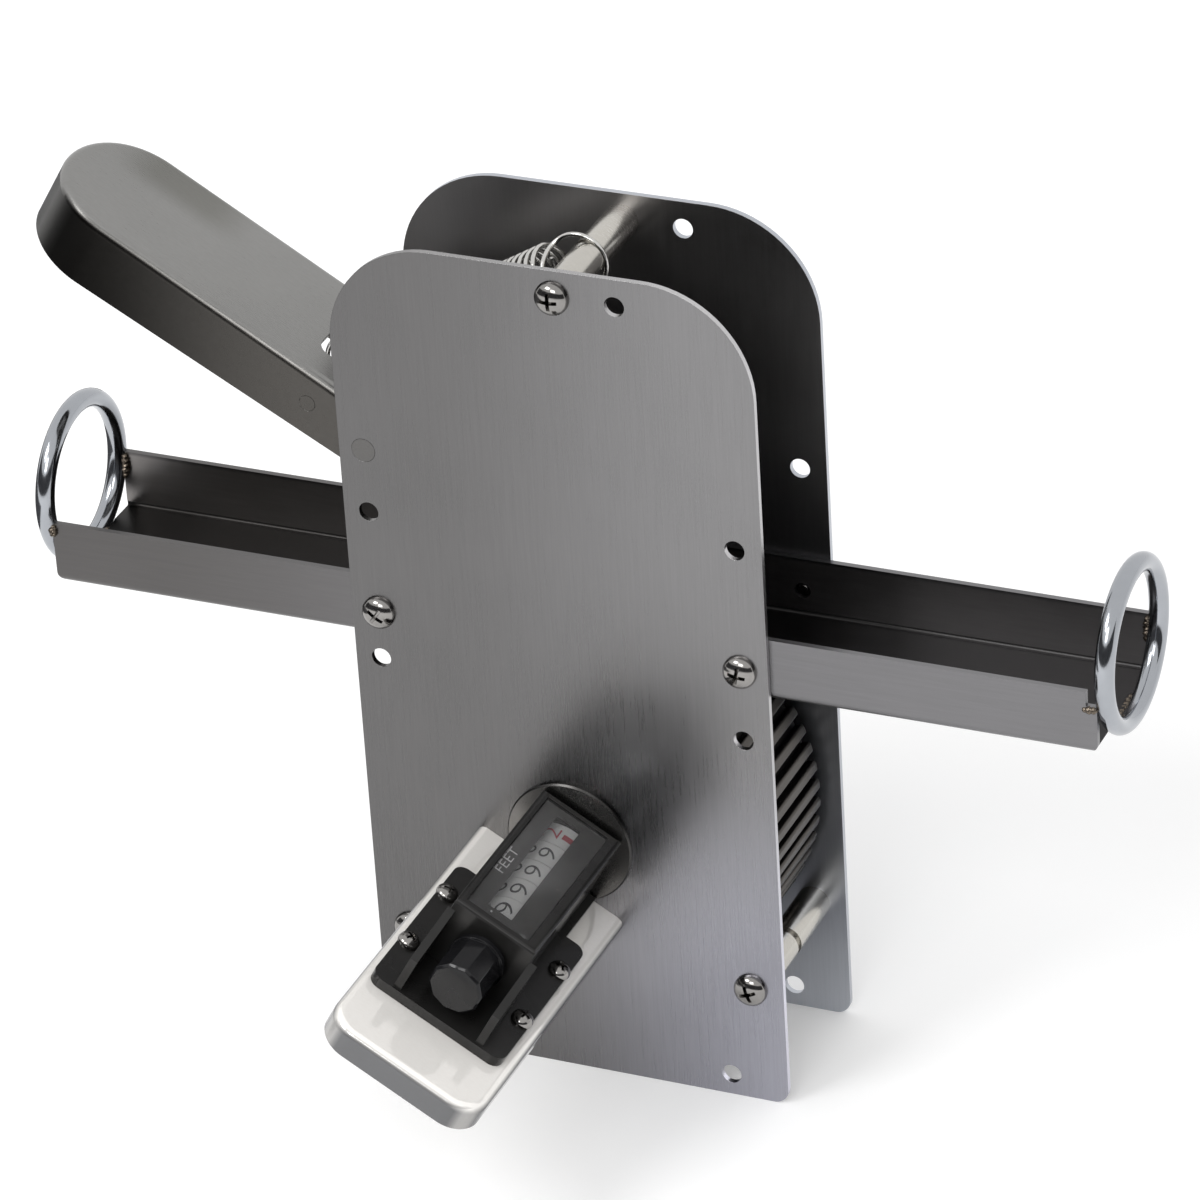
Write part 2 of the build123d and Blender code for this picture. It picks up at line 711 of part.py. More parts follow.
with BuildPart() as return_spring:
    with BuildLine() as coil:
        for leg in range(len(stops) - 1):
            biarc(stops[leg], stops[leg + 1])
    with BuildSketch(Plane(origin=stops[0][0], z_dir=stops[0][1])):
        Circle(spring_wire / 2)
    sweep(path=coil.wire())


# ---------------------------------------------------------------- counter shelf
def shelf_outline(inset):
    """The shelf's outline, drawn in by inset all round, round at its two near corners."""
    near = front_face + shelf_length - inset
    far = front_face + inset
    with BuildSketch() as outline:
        with Locations((shelf_offset, -(near + far) / 2)):
            Rectangle(shelf_width - 2 * inset, near - far)
        fillet(outline.vertices().group_by(Axis.Y)[0], shelf_corner_radius - inset)
    return outline.sketch


screw_spots = [(side_x * counter_screw_spacing_across / 2, -row) for side_x in (-1, 1) for row in screw_rows]

with BuildPart() as counter_shelf:
    with BuildSketch(level(0)):
        add(shelf_outline(0))
    extrude(amount=-shelf_depth)
    shelf_rim = counter_shelf.faces().sort_by(Axis((0, 0, 0), tuple(level(0).z_dir)))[-1].edges()
    fillet(shelf_rim.filter_by(lambda rim: rim.center().Y < middle - front_face - 1), shelf_bend_radius)
    with BuildSketch(level(-shelf_sheet)):
        add(shelf_outline(shelf_sheet))
    extrude(amount=-shelf_depth, mode=Mode.SUBTRACT)
    with BuildSketch(level(0)):
        with Locations(*screw_spots):
            Circle(counter_screw_diameter / 2 + seat)
    extrude(amount=-shelf_sheet, mode=Mode.SUBTRACT)

# ---------------------------------------------------------------- counter
block_middle = -(counter_near - housing_length / 2)
wheel_middles = [front_face + first_number_wheel + number_wheel_pitch * k for k in range(number_wheel_count)]
wheels_middle = -(wheel_middles[0] + wheel_middles[-1]) / 2
window_width = housing_width - 2 * window_border
window_middle = housing_shift + window_shift
window_length = housing_length - 2 * window_end_border
near_bracket = wheel_middles[-1] + number_wheel_pitch / 2 + loose
far_bracket = wheel_middles[0] - number_wheel_pitch / 2 - loose
shaft_near_end = near_bracket + bracket_thickness + 1.2
stub_reach = drive_stub_length + 0.9  # the drive end of the counter's shaft
drive_pin_length = shaft_diameter - 0.4
knob_start = counter_near + knob_gap
counter_screw_length = base_thickness + shelf_sheet + nut_height + 0.6

with BuildPart() as counter_base:
    with BuildSketch(level(0)):
        with Locations((0, -(front_face + base_start + base_end) / 2)):
            RectangleRounded(base_width, base_length, base_corner)
        with Locations((0, -(front_face + base_gap + base_end) / 2)):
            Rectangle(nose_width, base_end - front_face - base_gap)
        with Locations(*screw_spots):
            Circle(counter_screw_diameter / 2 + seat, mode=Mode.SUBTRACT)
    extrude(amount=base_thickness)
    # sloping cheeks each side of the reset knob
    for cheek in (-nose_width / 2, nose_width / 2 - cheek_thickness):
        with BuildSketch(cheek_side(cheek)):
            Polygon(
                (-counter_near - seat, 0),
                (-counter_near - seat, cheek_high),
                (-base_end + 1.5, cheek_low),
                (-base_end + 0.5, 0),
                align=None,
            )
        extrude(amount=cheek_thickness)
    # brackets that carry the counter's shaft inside the housing
    for face_y in (near_bracket + bracket_thickness, far_bracket):
        with BuildSketch(counter_end(face_y)):
            with Locations((0, -(shelf_drop - bracket_crown) / 2)):
                Rectangle(bracket_width, shelf_drop + bracket_crown - 0.4)
            Circle(counter_shaft_diameter / 2 + running, mode=Mode.SUBTRACT)
        extrude(amount=bracket_thickness)


with BuildPart() as counter_housing:
    with BuildSketch(level(base_thickness)):
        with Locations((housing_shift, block_middle)):
            Rectangle(housing_width, housing_length)
    extrude(amount=housing_top - base_thickness)
    housing_roof = counter_housing.faces().sort_by(Axis((0, 0, 0), tuple(level(0).z_dir)))[-1]
    fillet(housing_roof.edges(), housing_corner)
    # inside, up to the ledge that carries the mask and the window
    with BuildSketch(level(base_thickness)):
        with Locations((housing_shift, block_middle)):
            Rectangle(housing_width - 2 * housing_wall, housing_length - 2 * housing_wall)
    extrude(amount=ledge_height - ledge_thickness - base_thickness, mode=Mode.SUBTRACT)
    with BuildSketch(level(0)):
        with Locations((ledge_opening_shift, wheels_middle)):
            Rectangle(ledge_opening, ledge_opening_length)
    extrude(amount=housing_top, mode=Mode.SUBTRACT)
    with BuildSketch(level(ledge_height)):
        with Locations((window_middle, block_middle)):
            Rectangle(window_width, window_length)
    extrude(amount=housing_top - ledge_height, mode=Mode.SUBTRACT)
    # holes for the reset spindle and the counter's shaft
    with BuildSketch(counter_end(counter_near)):
        Circle(spindle_diameter / 2 + running)
    extrude(amount=housing_wall, mode=Mode.SUBTRACT)
    with BuildSketch(counter_end(counter_near - housing_length + housing_wall)):
        Circle(counter_shaft_diameter / 2 + loose)
    extrude(amount=housing_wall, mode=Mode.SUBTRACT)

with BuildPart() as counter_mask:
    with BuildSketch(level(ledge_height)):
        with Locations((window_middle, block_middle)):
            Rectangle(window_width - 2 * seat, window_length - 2 * seat)
        with Locations((mask_slot_shift, wheels_middle)):
            Rectangle(mask_slot_width, mask_slot_length, mode=Mode.SUBTRACT)
    extrude(amount=mask_thickness)

with BuildPart() as counter_window:
    with BuildSketch(level(ledge_height + mask_thickness)):
        with Locations((window_middle, block_middle)):
            Rectangle(window_width - 2 * seat, window_length - 2 * seat)
    extrude(amount=window_thickness)

with BuildPart() as counter_screws:
    add(pan_screw(level(base_thickness), screw_spots, counter_screw_diameter, counter_screw_length,
                  counter_screw_head, counter_screw_head_height))

with BuildPart() as counter_nuts:
    with BuildSketch(level(-shelf_sheet)):
        with Locations(*screw_spots):
            RegularPolygon(nut_across_flats / 2, 6, major_radius=False, rotation=30)
            Circle(counter_screw_diameter / 2 + seat, mode=Mode.SUBTRACT)
    extrude(amount=-nut_height)

with BuildPart() as counter_shaft:
    with BuildSketch(across(0, shaft_front - (stub_reach - drive_stub_length), axis_z)):
        Circle(drive_stub_diameter / 2)
    extrude(amount=stub_reach)
    with BuildSketch(across(0, -shaft_near_end, axis_z)):
        Circle(counter_shaft_diameter / 2)
    extrude(amount=shaft_near_end + shaft_front)
    with BuildSketch(Plane.XY.offset(axis_z - shaft_diameter)):
        with Locations((0, middle + drive_pin_y)):
            Circle(drive_pin_diameter / 2 + seat)
    extrude(amount=2 * shaft_diameter, mode=Mode.SUBTRACT)

with BuildPart() as drive_pin:
    with BuildSketch(Plane.XY.offset(axis_z - drive_pin_length / 2)):
        with Locations((0, middle + drive_pin_y)):
            Circle(drive_pin_diameter / 2)
    extrude(amount=drive_pin_length)


def number_wheel(place):
    """One figure wheel, place counted from the front plate: a rim on a web and a hub."""
    width = number_wheel_pitch - number_wheel_gap
    near = -(wheel_middles[place] + width / 2)
    with BuildPart() as wheel:
        with BuildSketch(across(0, near, axis_z)):
            Circle(number_wheel_radius)
            Circle(number_wheel_radius - number_rim, mode=Mode.SUBTRACT)
        extrude(amount=width)
        with BuildSketch(across(0, near + (width - number_web) / 2, axis_z)):
            Circle(number_wheel_radius - number_rim / 2)
        extrude(amount=number_web)
        with BuildSketch(across(0, near, axis_z)):
            Circle(number_hub_radius)
        extrude(amount=width)
        with BuildSketch(across(0, near, axis_z)):
            Circle(counter_shaft_diameter / 2 + running)
        extrude(amount=width, mode=Mode.SUBTRACT)
    return wheel.part


with BuildPart() as tenths_wheel:
    add(number_wheel(0))

with BuildPart() as ones_wheel:
    add(number_wheel(1))

with BuildPart() as tens_wheel:
    add(number_wheel(2))

with BuildPart() as hundreds_wheel:
    add(number_wheel(3))

with BuildPart() as thousands_wheel:
    add(number_wheel(4))

with BuildPart() as reset_knob:
    with BuildSketch(counter_end(knob_start + knob_length)):
        RegularPolygon(knob_across_flats / 2, knob_sides, major_radius=False, rotation=180 / knob_sides)
    extrude(amount=knob_length)
    chamfer(reset_knob.faces().sort_by(Axis.Y)[0].edges(), knob_edge)
    # round skirt at the end next to the housing
    with BuildSketch(counter_end(knob_start + knob_skirt_length)):
        Circle(knob_skirt_diameter / 2)
    extrude(amount=knob_skirt_length)
    with BuildSketch(counter_end(knob_start + spindle_depth)):
        Circle(spindle_diameter / 2 + seat)
    extrude(amount=spindle_depth, mode=Mode.SUBTRACT)

with BuildPart() as reset_spindle:
    with BuildSketch(counter_end(knob_start + spindle_depth)):
        Circle(spindle_diameter / 2)
    extrude(amount=spindle_depth + knob_gap + housing_wall + loose)
    with BuildSketch(counter_end(counter_near - housing_wall - loose)):
        Circle(spindle_collar / 2)
    extrude(amount=spindle_collar_thickness)

# ---------------------------------------------------------------- one file for each piece
pieces = {
    "front_plate": front_plate,
    "rear_plate": rear_plate,
    "guide_trough": guide_trough,
    "entry_ring": entry_ring,
    "exit_ring": exit_ring,
    "top_spacer": top_spacer,
    "left_foot_spacer": left_foot_spacer,
    "right_foot_spacer": right_foot_spacer,
    "front_frame_screws": front_frame_screws,
    "rear_frame_screws": rear_frame_screws,
    "shaft_boss": shaft_boss,
    "front_bush": front_bush,
    "rear_bush": rear_bush,
    "lever_pivot_pin": lever_pivot_pin,
    "pivot_washers": pivot_washers,
    "return_spring": return_spring,
    "press_handle": press_handle,
    "spring_pin": spring_pin,
    "pressure_wheel_axle": pressure_wheel_axle,
    "pressure_wheel": pressure_wheel,
    "pressure_wheel_tyre": pressure_wheel_tyre,
    "measuring_wheel": measuring_wheel,
    "wheel_shaft": wheel_shaft,
    "wheel_grub_screw": wheel_grub_screw,
    "shaft_clip": shaft_clip,
    "counter_shaft": counter_shaft,
    "drive_pin": drive_pin,
    "counter_shelf": counter_shelf,
    "counter_base": counter_base,
    "counter_housing": counter_housing,
    "counter_mask": counter_mask,
    "counter_window": counter_window,
    "counter_screws": counter_screws,
    "counter_nuts": counter_nuts,
    "tenths_wheel": tenths_wheel,
    "ones_wheel": ones_wheel,
    "tens_wheel": tens_wheel,
    "hundreds_wheel": hundreds_wheel,
    "thousands_wheel": thousands_wheel,
    "reset_knob": reset_knob,
    "reset_spindle": reset_spindle,
}

for name, piece in pieces.items():
    piece.part.label = name
    export_step(piece.part, f"parts/{name}.step")

# least gap of the spring to itself, between points more than half a turn apart along the wire
wire_points = [edge.position_at(step / 24) for edge in coil.wire().edges() for step in range(24)]
apart = 36
reach = 300
least = min(
    (wire_points[i] - wire_points[j]).length
    for i in range(len(wire_points))
    for j in range(i + apart, min(i + reach, len(wire_points)))
)
print(f"spring: {half_turns / 2:.0f} turns, least gap to itself {least - spring_wire:.2f} mm")
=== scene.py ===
import json
from math import cos, pi, radians, sin

import bmesh
import bpy
from mathutils import Matrix, Vector

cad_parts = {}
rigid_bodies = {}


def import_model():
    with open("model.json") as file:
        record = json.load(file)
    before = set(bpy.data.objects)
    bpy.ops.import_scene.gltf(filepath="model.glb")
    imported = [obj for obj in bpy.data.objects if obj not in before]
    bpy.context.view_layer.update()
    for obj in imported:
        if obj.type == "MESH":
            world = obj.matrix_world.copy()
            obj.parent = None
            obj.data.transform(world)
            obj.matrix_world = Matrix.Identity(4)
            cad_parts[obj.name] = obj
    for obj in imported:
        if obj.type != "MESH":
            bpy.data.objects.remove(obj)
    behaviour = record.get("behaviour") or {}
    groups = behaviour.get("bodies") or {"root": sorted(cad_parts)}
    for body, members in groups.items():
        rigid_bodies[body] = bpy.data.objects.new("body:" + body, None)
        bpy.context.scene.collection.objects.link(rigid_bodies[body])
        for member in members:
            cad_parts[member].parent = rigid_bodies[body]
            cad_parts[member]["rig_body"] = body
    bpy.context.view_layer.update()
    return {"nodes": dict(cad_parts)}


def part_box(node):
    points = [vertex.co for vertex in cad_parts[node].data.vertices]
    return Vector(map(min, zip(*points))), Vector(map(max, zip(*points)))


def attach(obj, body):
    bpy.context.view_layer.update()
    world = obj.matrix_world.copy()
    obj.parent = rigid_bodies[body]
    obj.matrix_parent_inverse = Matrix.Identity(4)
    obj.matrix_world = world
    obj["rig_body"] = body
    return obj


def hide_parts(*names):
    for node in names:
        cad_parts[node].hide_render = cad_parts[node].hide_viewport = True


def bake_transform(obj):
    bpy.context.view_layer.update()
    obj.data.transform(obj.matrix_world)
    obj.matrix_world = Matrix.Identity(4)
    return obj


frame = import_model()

# ---------------------------------------------------------------- side plates
# Two laser-cut sheets of 1.5 mm stainless steel, brushed from top to bottom and rounded at the top.
# They stand upright 40 mm apart and carry every shaft, pin, screw and spacer of the counter.
MM = 0.001
middle = (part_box("front_plate")[0].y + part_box("rear_plate")[1].y) / 2
plate_colour = (0.150, 0.147, 0.147, 1)
plate_edge = 0.22 * MM  # the cut edge is broken with a stone


def steel_base(name, colour, grain, roughness, mottle, depth, spread):
    """Steel with fine scratches; grain is how closely they lie along X, Y and Z, per metre."""
    steel = bpy.data.materials.new(name)
    steel.use_nodes = True
    nodes, links = steel.node_tree.nodes, steel.node_tree.links
    shader = nodes["Principled BSDF"]
    shader.inputs["Metallic"].default_value = 1
    place = nodes.new("ShaderNodeTexCoord")
    stretch = nodes.new("ShaderNodeMapping")
    stretch.inputs["Scale"].default_value = grain
    links.new(place.outputs["Object"], stretch.inputs["Vector"])
    scratches = nodes.new("ShaderNodeTexNoise")
    scratches.inputs["Scale"].default_value = 1
    scratches.inputs["Detail"].default_value = 4
    scratches.inputs["Roughness"].default_value = 0.6
    links.new(stretch.outputs["Vector"], scratches.inputs["Vector"])
    # slow clouds left by the rolling of the sheet and by handling
    clouds = nodes.new("ShaderNodeTexNoise")
    clouds.inputs["Scale"].default_value = 24
    clouds.inputs["Detail"].default_value = 3
    links.new(place.outputs["Object"], clouds.inputs["Vector"])
    blend = nodes.new("ShaderNodeMix")
    blend.inputs["Factor"].default_value = 0.5
    links.new(scratches.outputs["Fac"], blend.inputs["A"])
    links.new(clouds.outputs["Fac"], blend.inputs["B"])
    tint = nodes.new("ShaderNodeValToRGB")
    low, high = tint.color_ramp.elements
    low.position, high.position = 0.32, 0.68
    low.color = [c * (1 - mottle) for c in colour[:3]] + [1]
    high.color = [min(1, c * (1 + mottle)) for c in colour[:3]] + [1]
    links.new(blend.outputs["Result"], tint.inputs["Fac"])
    links.new(tint.outputs["Color"], shader.inputs["Base Color"])
    dull = nodes.new("ShaderNodeMapRange")
    dull.inputs["From Min"].default_value = 0.32
    dull.inputs["From Max"].default_value = 0.68
    dull.inputs["To Min"].default_value = roughness - spread
    dull.inputs["To Max"].default_value = roughness + spread
    links.new(blend.outputs["Result"], dull.inputs["Value"])
    links.new(dull.outputs["Result"], shader.inputs["Roughness"])
    relief = nodes.new("ShaderNodeBump")
    relief.inputs["Strength"].default_value = 0.3
    relief.inputs["Distance"].default_value = depth * MM
    links.new(scratches.outputs["Fac"], relief.inputs["Height"])
    links.new(relief.outputs["Normal"], shader.inputs["Normal"])
    return steel


def along(material, axis, start, end):
    """A mask that goes from 0 to 1 as the surface goes from start to end on X, Y or Z, in metres."""
    nodes, links = material.node_tree.nodes, material.node_tree.links
    place = nodes.new("ShaderNodeTexCoord")
    apart = nodes.new("ShaderNodeSeparateXYZ")
    links.new(place.outputs["Object"], apart.inputs["Vector"])
    ramp = nodes.new("ShaderNodeMapRange")
    ramp.interpolation_type = "SMOOTHSTEP"
    ramp.inputs["From Min"].default_value = min(start, end)
    ramp.inputs["From Max"].default_value = max(start, end)
    ramp.inputs["To Min"].default_value = 0 if start < end else 1
    ramp.inputs["To Max"].default_value = 1 if start < end else 0
    links.new(apart.outputs[axis], ramp.inputs["Value"])
    return ramp.outputs["Result"]


def facing(material, way, low=0.35, high=0.75):
    """A mask of the faces of the piece that look this way."""
    nodes, links = material.node_tree.nodes, material.node_tree.links
    place = nodes.new("ShaderNodeTexCoord")
    dot = nodes.new("ShaderNodeVectorMath")
    dot.operation = "DOT_PRODUCT"
    dot.inputs[1].default_value = way
    links.new(place.outputs["Normal"], dot.inputs[0])
    ramp = nodes.new("ShaderNodeMapRange")
    ramp.inputs["From Min"].default_value = low
    ramp.inputs["From Max"].default_value = high
    links.new(dot.outputs["Value"], ramp.inputs["Value"])
    return ramp.outputs["Result"]


def together(material, *masks):
    """The masks multiplied: where all of them are 1."""
    result = masks[0]
    for mask in masks[1:]:
        times = material.node_tree.nodes.new("ShaderNodeMath")
        times.operation = "MULTIPLY"
        material.node_tree.links.new(result, times.inputs[0])
        material.node_tree.links.new(mask, times.inputs[1])
        result = times.outputs["Value"]
    return result


def tone(material, mask, factor):
    """The colour times factor where the mask is 1."""
    nodes, links = material.node_tree.nodes, material.node_tree.links
    socket = nodes["Principled BSDF"].inputs["Base Color"]
    mix = nodes.new("ShaderNodeMix")
    mix.data_type = "RGBA"
    mix.blend_type = "MULTIPLY"
    links.new(mask, mix.inputs["Factor"])
    links.new(socket.links[0].from_socket, mix.inputs[6])
    mix.inputs[7].default_value = (*factor, 1) if isinstance(factor, tuple) else (factor, factor, factor, 1)
    links.new(mix.outputs[2], socket)


def finish_with(thing, material):
    """The thing wears this one material all over."""
    thing.data.materials.clear()
    thing.data.materials.append(material)


def new_piece(name, mesh, body, material, stands_for=(), corner=32):
    """A mesh becomes a piece of the object on its body, smooth except where it turns by corner degrees.
    A corner of 0 keeps the normals that the mesh has."""
    if corner:
        mesh.shade_smooth()
        mesh.set_sharp_from_angle(angle=radians(corner))
    piece = bpy.data.objects.new(name, mesh)
    bpy.context.scene.collection.objects.link(piece)
    finish_with(piece, material)
    if body:
        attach(piece, body)
    if stands_for:
        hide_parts(*stands_for)
    return piece


def mesh_after(thing):
    """The thing's mesh once its modifiers have run; the thing itself goes."""
    done = bpy.data.meshes.new_from_object(thing.evaluated_get(bpy.context.evaluated_depsgraph_get()))
    bpy.data.objects.remove(thing)
    return done


def stone_edges(node, material, width):
    """The sheet or moulding with its sharp edges broken, so that they catch the light."""
    source = frame["nodes"][node]
    body = source["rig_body"]
    outline = bmesh.new()
    outline.from_mesh(source.data)
    bmesh.ops.remove_doubles(outline, verts=outline.verts, dist=0.002 * MM)
    bmesh.ops.dissolve_limit(outline, angle_limit=radians(1), verts=outline.verts, edges=outline.edges)
    mesh = bpy.data.meshes.new(node + "_outline")
    outline.to_mesh(mesh)
    outline.free()
    mesh.shade_smooth()
    rough = bpy.data.objects.new(node + "_rough", mesh)
    bpy.context.scene.collection.objects.link(rough)
    bevel = rough.modifiers.new("edges", "BEVEL")
    bevel.width = width
    bevel.segments = 3
    bevel.limit_method = "ANGLE"
    bevel.angle_limit = radians(30)
    bevel.use_clamp_overlap = True
    level = rough.modifiers.new("flat_faces", "WEIGHTED_NORMAL")  # the broad faces stay flat up to the edges
    level.weight = 100
    return new_piece(node + "_finished", mesh_after(rough), body, material, [node], corner=0)


plate_steel = steel_base("plate_steel", plate_colour, (2400, 900, 60), 0.29, 0.09, 0.005, 0.05)
# painted reflection: the front sheet is lighter towards the right, and lighter and bluer towards the foot on
# the right
tone(plate_steel, along(plate_steel, "X", -35 * MM, 50 * MM), (1.5, 1.51, 1.53))
tone(plate_steel, together(plate_steel, along(plate_steel, "X", -20 * MM, 50 * MM),
                           along(plate_steel, "Z", 110 * MM, 20 * MM)), (1.6, 1.62, 1.8))
tone(plate_steel, facing(plate_steel, (0.7, 0, 0.7), 0.3, 0.8), 2.4)  # painted highlight on the faces and edges that look up and to the right
stone_edges("front_plate", plate_steel, plate_edge)
# the pale base colour is painted light, left on the inner side only
rear_steel = steel_base("rear_steel", (0.48, 0.50, 0.54, 1), (2400, 900, 60), 0.34, 0.07, 0.005, 0.04)
tone(rear_steel, facing(rear_steel, (0, 1, 0)), 0.38)  # the outer side, toned to the sheet's own colour
inner_side = facing(rear_steel, (0, -1, 0))  # painted shade on the inner side: warmer and darker upwards, and darkest over the lever
tone(rear_steel, together(rear_steel, inner_side,
                          along(rear_steel, "Z", 20 * MM, 190 * MM)), (0.60, 0.56, 0.52))
tone(rear_steel, together(rear_steel, inner_side, along(rear_steel, "Z", 175 * MM, 200 * MM),
                          along(rear_steel, "X", -8 * MM, -40 * MM)), 0.3)
stone_edges("rear_plate", rear_steel, plate_edge)

# ---------------------------------------------------------------- spacers, pins and axles
# Turned bars of bright steel. The three spacers are grooved at the middle and hold the plates apart,
# and the pins carry the lever, its spring and the pressure wheel. The boss is faced in the lathe.
turned_steel = steel_base("turned_steel", (0.54, 0.52, 0.48, 1), (600, 6000, 600), 0.24, 0.1, 0.006, 0.05)
for bar in ("top_spacer", "left_foot_spacer", "right_foot_spacer", "pressure_wheel_axle", "wheel_shaft",
            "counter_shaft", "drive_pin", "reset_spindle", "pivot_washers"):
    finish_with(frame["nodes"][bar], turned_steel)
side_shaded_steel = steel_base("side_shaded_steel", (0.19, 0.185, 0.18, 1), (2500, 400, 2500), 0.30, 0.12, 0.006, 0.05)
for outward in ((1, 0, 0), (-1, 0, 0), (0, 0, 1), (0, 0, -1)):
    tone(side_shaded_steel, facing(side_shaded_steel, outward, 0.1, 0.6), 0.3)  # painted shade: the sides darker, so only the end faces are bright
tone(side_shaded_steel, along(side_shaded_steel, "X", -30 * MM, -42 * MM), 0.72)  # painted shade: the pin at the left end darker still
for faced in ("shaft_boss", "lever_pivot_pin"):
    finish_with(frame["nodes"][faced], side_shaded_steel)

# ---------------------------------------------------------------- frame screws
# Ten bright plated screws with domed heads and cross recesses, five in each plate. Three of them run
# into the spacers and two hold the guide trough.
screw_bright = steel_base("screw_bright", (0.29, 0.28, 0.27, 1), (1200, 1200, 1200), 0.13, 0.1, 0.003, 0.03)


def domed_screw(radius, height, shank, length):
    """A screw turned about Z with its head above z = 0, and a tapered cross sunk in the head."""
    sides, profile = 40, [(shank * 0.6, -length), (shank, -length + shank * 0.4), (shank, 0), (radius, 0),
                          (radius, height * 0.1)]
    profile += [(radius * cos(radians(a)), height * (0.1 + 0.9 * sin(radians(a)))) for a in range(10, 90, 10)]
    points, faces = [], []
    for r, z in profile:
        points += [(r * cos(2 * pi * k / sides), r * sin(2 * pi * k / sides), z) for k in range(sides)]
    for row in range(len(profile) - 1):
        for k in range(sides):
            a, b = row * sides + k, row * sides + (k + 1) % sides
            faces.append((a, b, b + sides, a + sides))
    faces.append(tuple(reversed(range(sides))))
    points.append((0, 0, height))
    last = (len(profile) - 1) * sides
    faces += [(last + k, last + (k + 1) % sides, len(points) - 1) for k in range(sides)]
    head = bpy.data.meshes.new("screw_blank")
    head.from_pydata(points, [], faces)
    blank = bpy.data.objects.new("screw_blank", head)
    cross = []
    # the cross is narrow at its foot, inside the head, and wide at its mouth, just above the dome
    for reach, half, z in ((0.30, 0.05, height * 0.35), (0.62, 0.125, height * 1.1)):
        reach, half = reach * radius, half * radius
        arm = [(reach, -half), (reach, half), (half, half)]
        for turn in range(4):
            c, s = round(cos(turn * pi / 2)), round(sin(turn * pi / 2))
            cross += [(c * x - s * y, s * x + c * y, z) for x, y in arm]
    n = len(cross) // 2
    walls = [(k, (k + 1) % n, n + (k + 1) % n, n + k) for k in range(n)]
    tool_mesh = bpy.data.meshes.new("cross_punch")
    tool_mesh.from_pydata(cross, [], walls + [tuple(reversed(range(n))), tuple(range(n, 2 * n))])
    punch = bpy.data.objects.new("cross_punch", tool_mesh)
    for thing in (blank, punch):
        bpy.context.scene.collection.objects.link(thing)
    cut = blank.modifiers.new("cross", "BOOLEAN")
    cut.object = punch
    cut.operation = "DIFFERENCE"
    cut.solver = "EXACT"
    done = mesh_after(blank)
    bpy.data.objects.remove(punch)
    return done


def copies(name, mesh, places):
    """One mesh that holds a copy of the given one at each place."""
    whole = bmesh.new()
    for place in places:
        before = len(whole.verts)
        whole.from_mesh(mesh)
        whole.verts.ensure_lookup_table()
        bmesh.ops.transform(whole, matrix=place, verts=whole.verts[before:])
    done = bpy.data.meshes.new(name)
    whole.to_mesh(done)
    whole.free()
    return done


head_radius, head_height, shank_radius = 4.25 * MM, 2.85 * MM, 1.95 * MM
long_screw = domed_screw(head_radius, head_height, shank_radius, 13 * MM)
short_screw = domed_screw(head_radius, head_height, shank_radius, 2.6 * MM)
plate_face = 21.5 * MM  # from the middle
long_places = [(4.4, 212.5, 20), (-45, 31.5, 65), (45, 31.5, 40)]  # x, z and how far each is turned
short_places = [(-46.5, 120.5, 75), (46.5, 120.5, 10)]
for side, node in ((-1, "front_frame_screws"), (1, "rear_frame_screws")):
    stand = Matrix(((1, 0, 0), (0, 0, side), (0, -side, 0))).to_4x4()
    joined = bmesh.new()
    for kind, places in ((long_screw, long_places), (short_screw, short_places)):
        joined.from_mesh(copies(node + "_kind", kind, [
            Matrix.Translation((x * MM, middle + side * plate_face, z * MM)) @ stand
            @ Matrix.Rotation(radians(turn + 20 * side), 4, "Z") for x, z, turn in places]))
    five_heads = bpy.data.meshes.new(node + "_domed")
    joined.to_mesh(five_heads)
    joined.free()
    new_piece(node + "_domed", five_heads, "frame", screw_bright, [node], corner=40)

# ---------------------------------------------------------------- bushes, clip and grub screw
# Flanged bushes of sintered bronze pressed into the plates, and the blackened clip and grub screw that
# keep the shaft and its wheel in place.
bronze = steel_base("bronze", (0.42, 0.29, 0.16, 1), (1500, 1500, 1500), 0.42, 0.2, 0.012, 0.08)
black_steel = steel_base("black_steel", (0.06, 0.06, 0.06, 1), (1500, 1500, 1500), 0.4, 0.2, 0.01, 0.08)
for bush in ("front_bush", "rear_bush"):
    finish_with(frame["nodes"][bush], bronze)
for small in ("shaft_clip", "wheel_grub_screw"):
    finish_with(frame["nodes"][small], black_steel)

# ---------------------------------------------------------------- measuring wheel
# A wheel one foot round, cast in aluminium and anodised dark, with 60 flutes across its rim that grip
# the rope. The ridges are a warm dark brown, and the grooves between them carry painted shade.
wheel_dark = steel_base("wheel_dark", (0.085, 0.078, 0.072, 1), (500, 80, 500), 0.38, 0.22, 0.02, 0.08)
wheel_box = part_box("measuring_wheel")
wheel_middle = (wheel_box[0] + wheel_box[1]) / 2
wheel_reach = (wheel_box[1].x - wheel_box[0].x) / 2
wheel_nodes, wheel_links = wheel_dark.node_tree.nodes, wheel_dark.node_tree.links
wheel_place = wheel_nodes.new("ShaderNodeTexCoord")
flat = wheel_nodes.new("ShaderNodeVectorMath")
flat.operation = "MULTIPLY"
flat.inputs[1].default_value = (1, 0, 1)
wheel_links.new(wheel_place.outputs["Object"], flat.inputs[0])
out_from = wheel_nodes.new("ShaderNodeVectorMath")
out_from.operation = "DISTANCE"
out_from.inputs[1].default_value = (wheel_middle.x, 0, wheel_middle.z)
wheel_links.new(flat.outputs["Vector"], out_from.inputs[0])
groove = wheel_nodes.new("ShaderNodeMapRange")
groove.inputs["From Min"].default_value = wheel_reach - 2.2 * MM
groove.inputs["From Max"].default_value = wheel_reach - 0.5 * MM
groove.inputs["To Min"].default_value = 1
groove.inputs["To Max"].default_value = 0
wheel_links.new(out_from.outputs["Value"], groove.inputs["Value"])
# painted shade in the grooves between the ridges
tone(wheel_dark, groove.outputs["Result"], 0.12)
finish_with(frame["nodes"]["measuring_wheel"], wheel_dark)
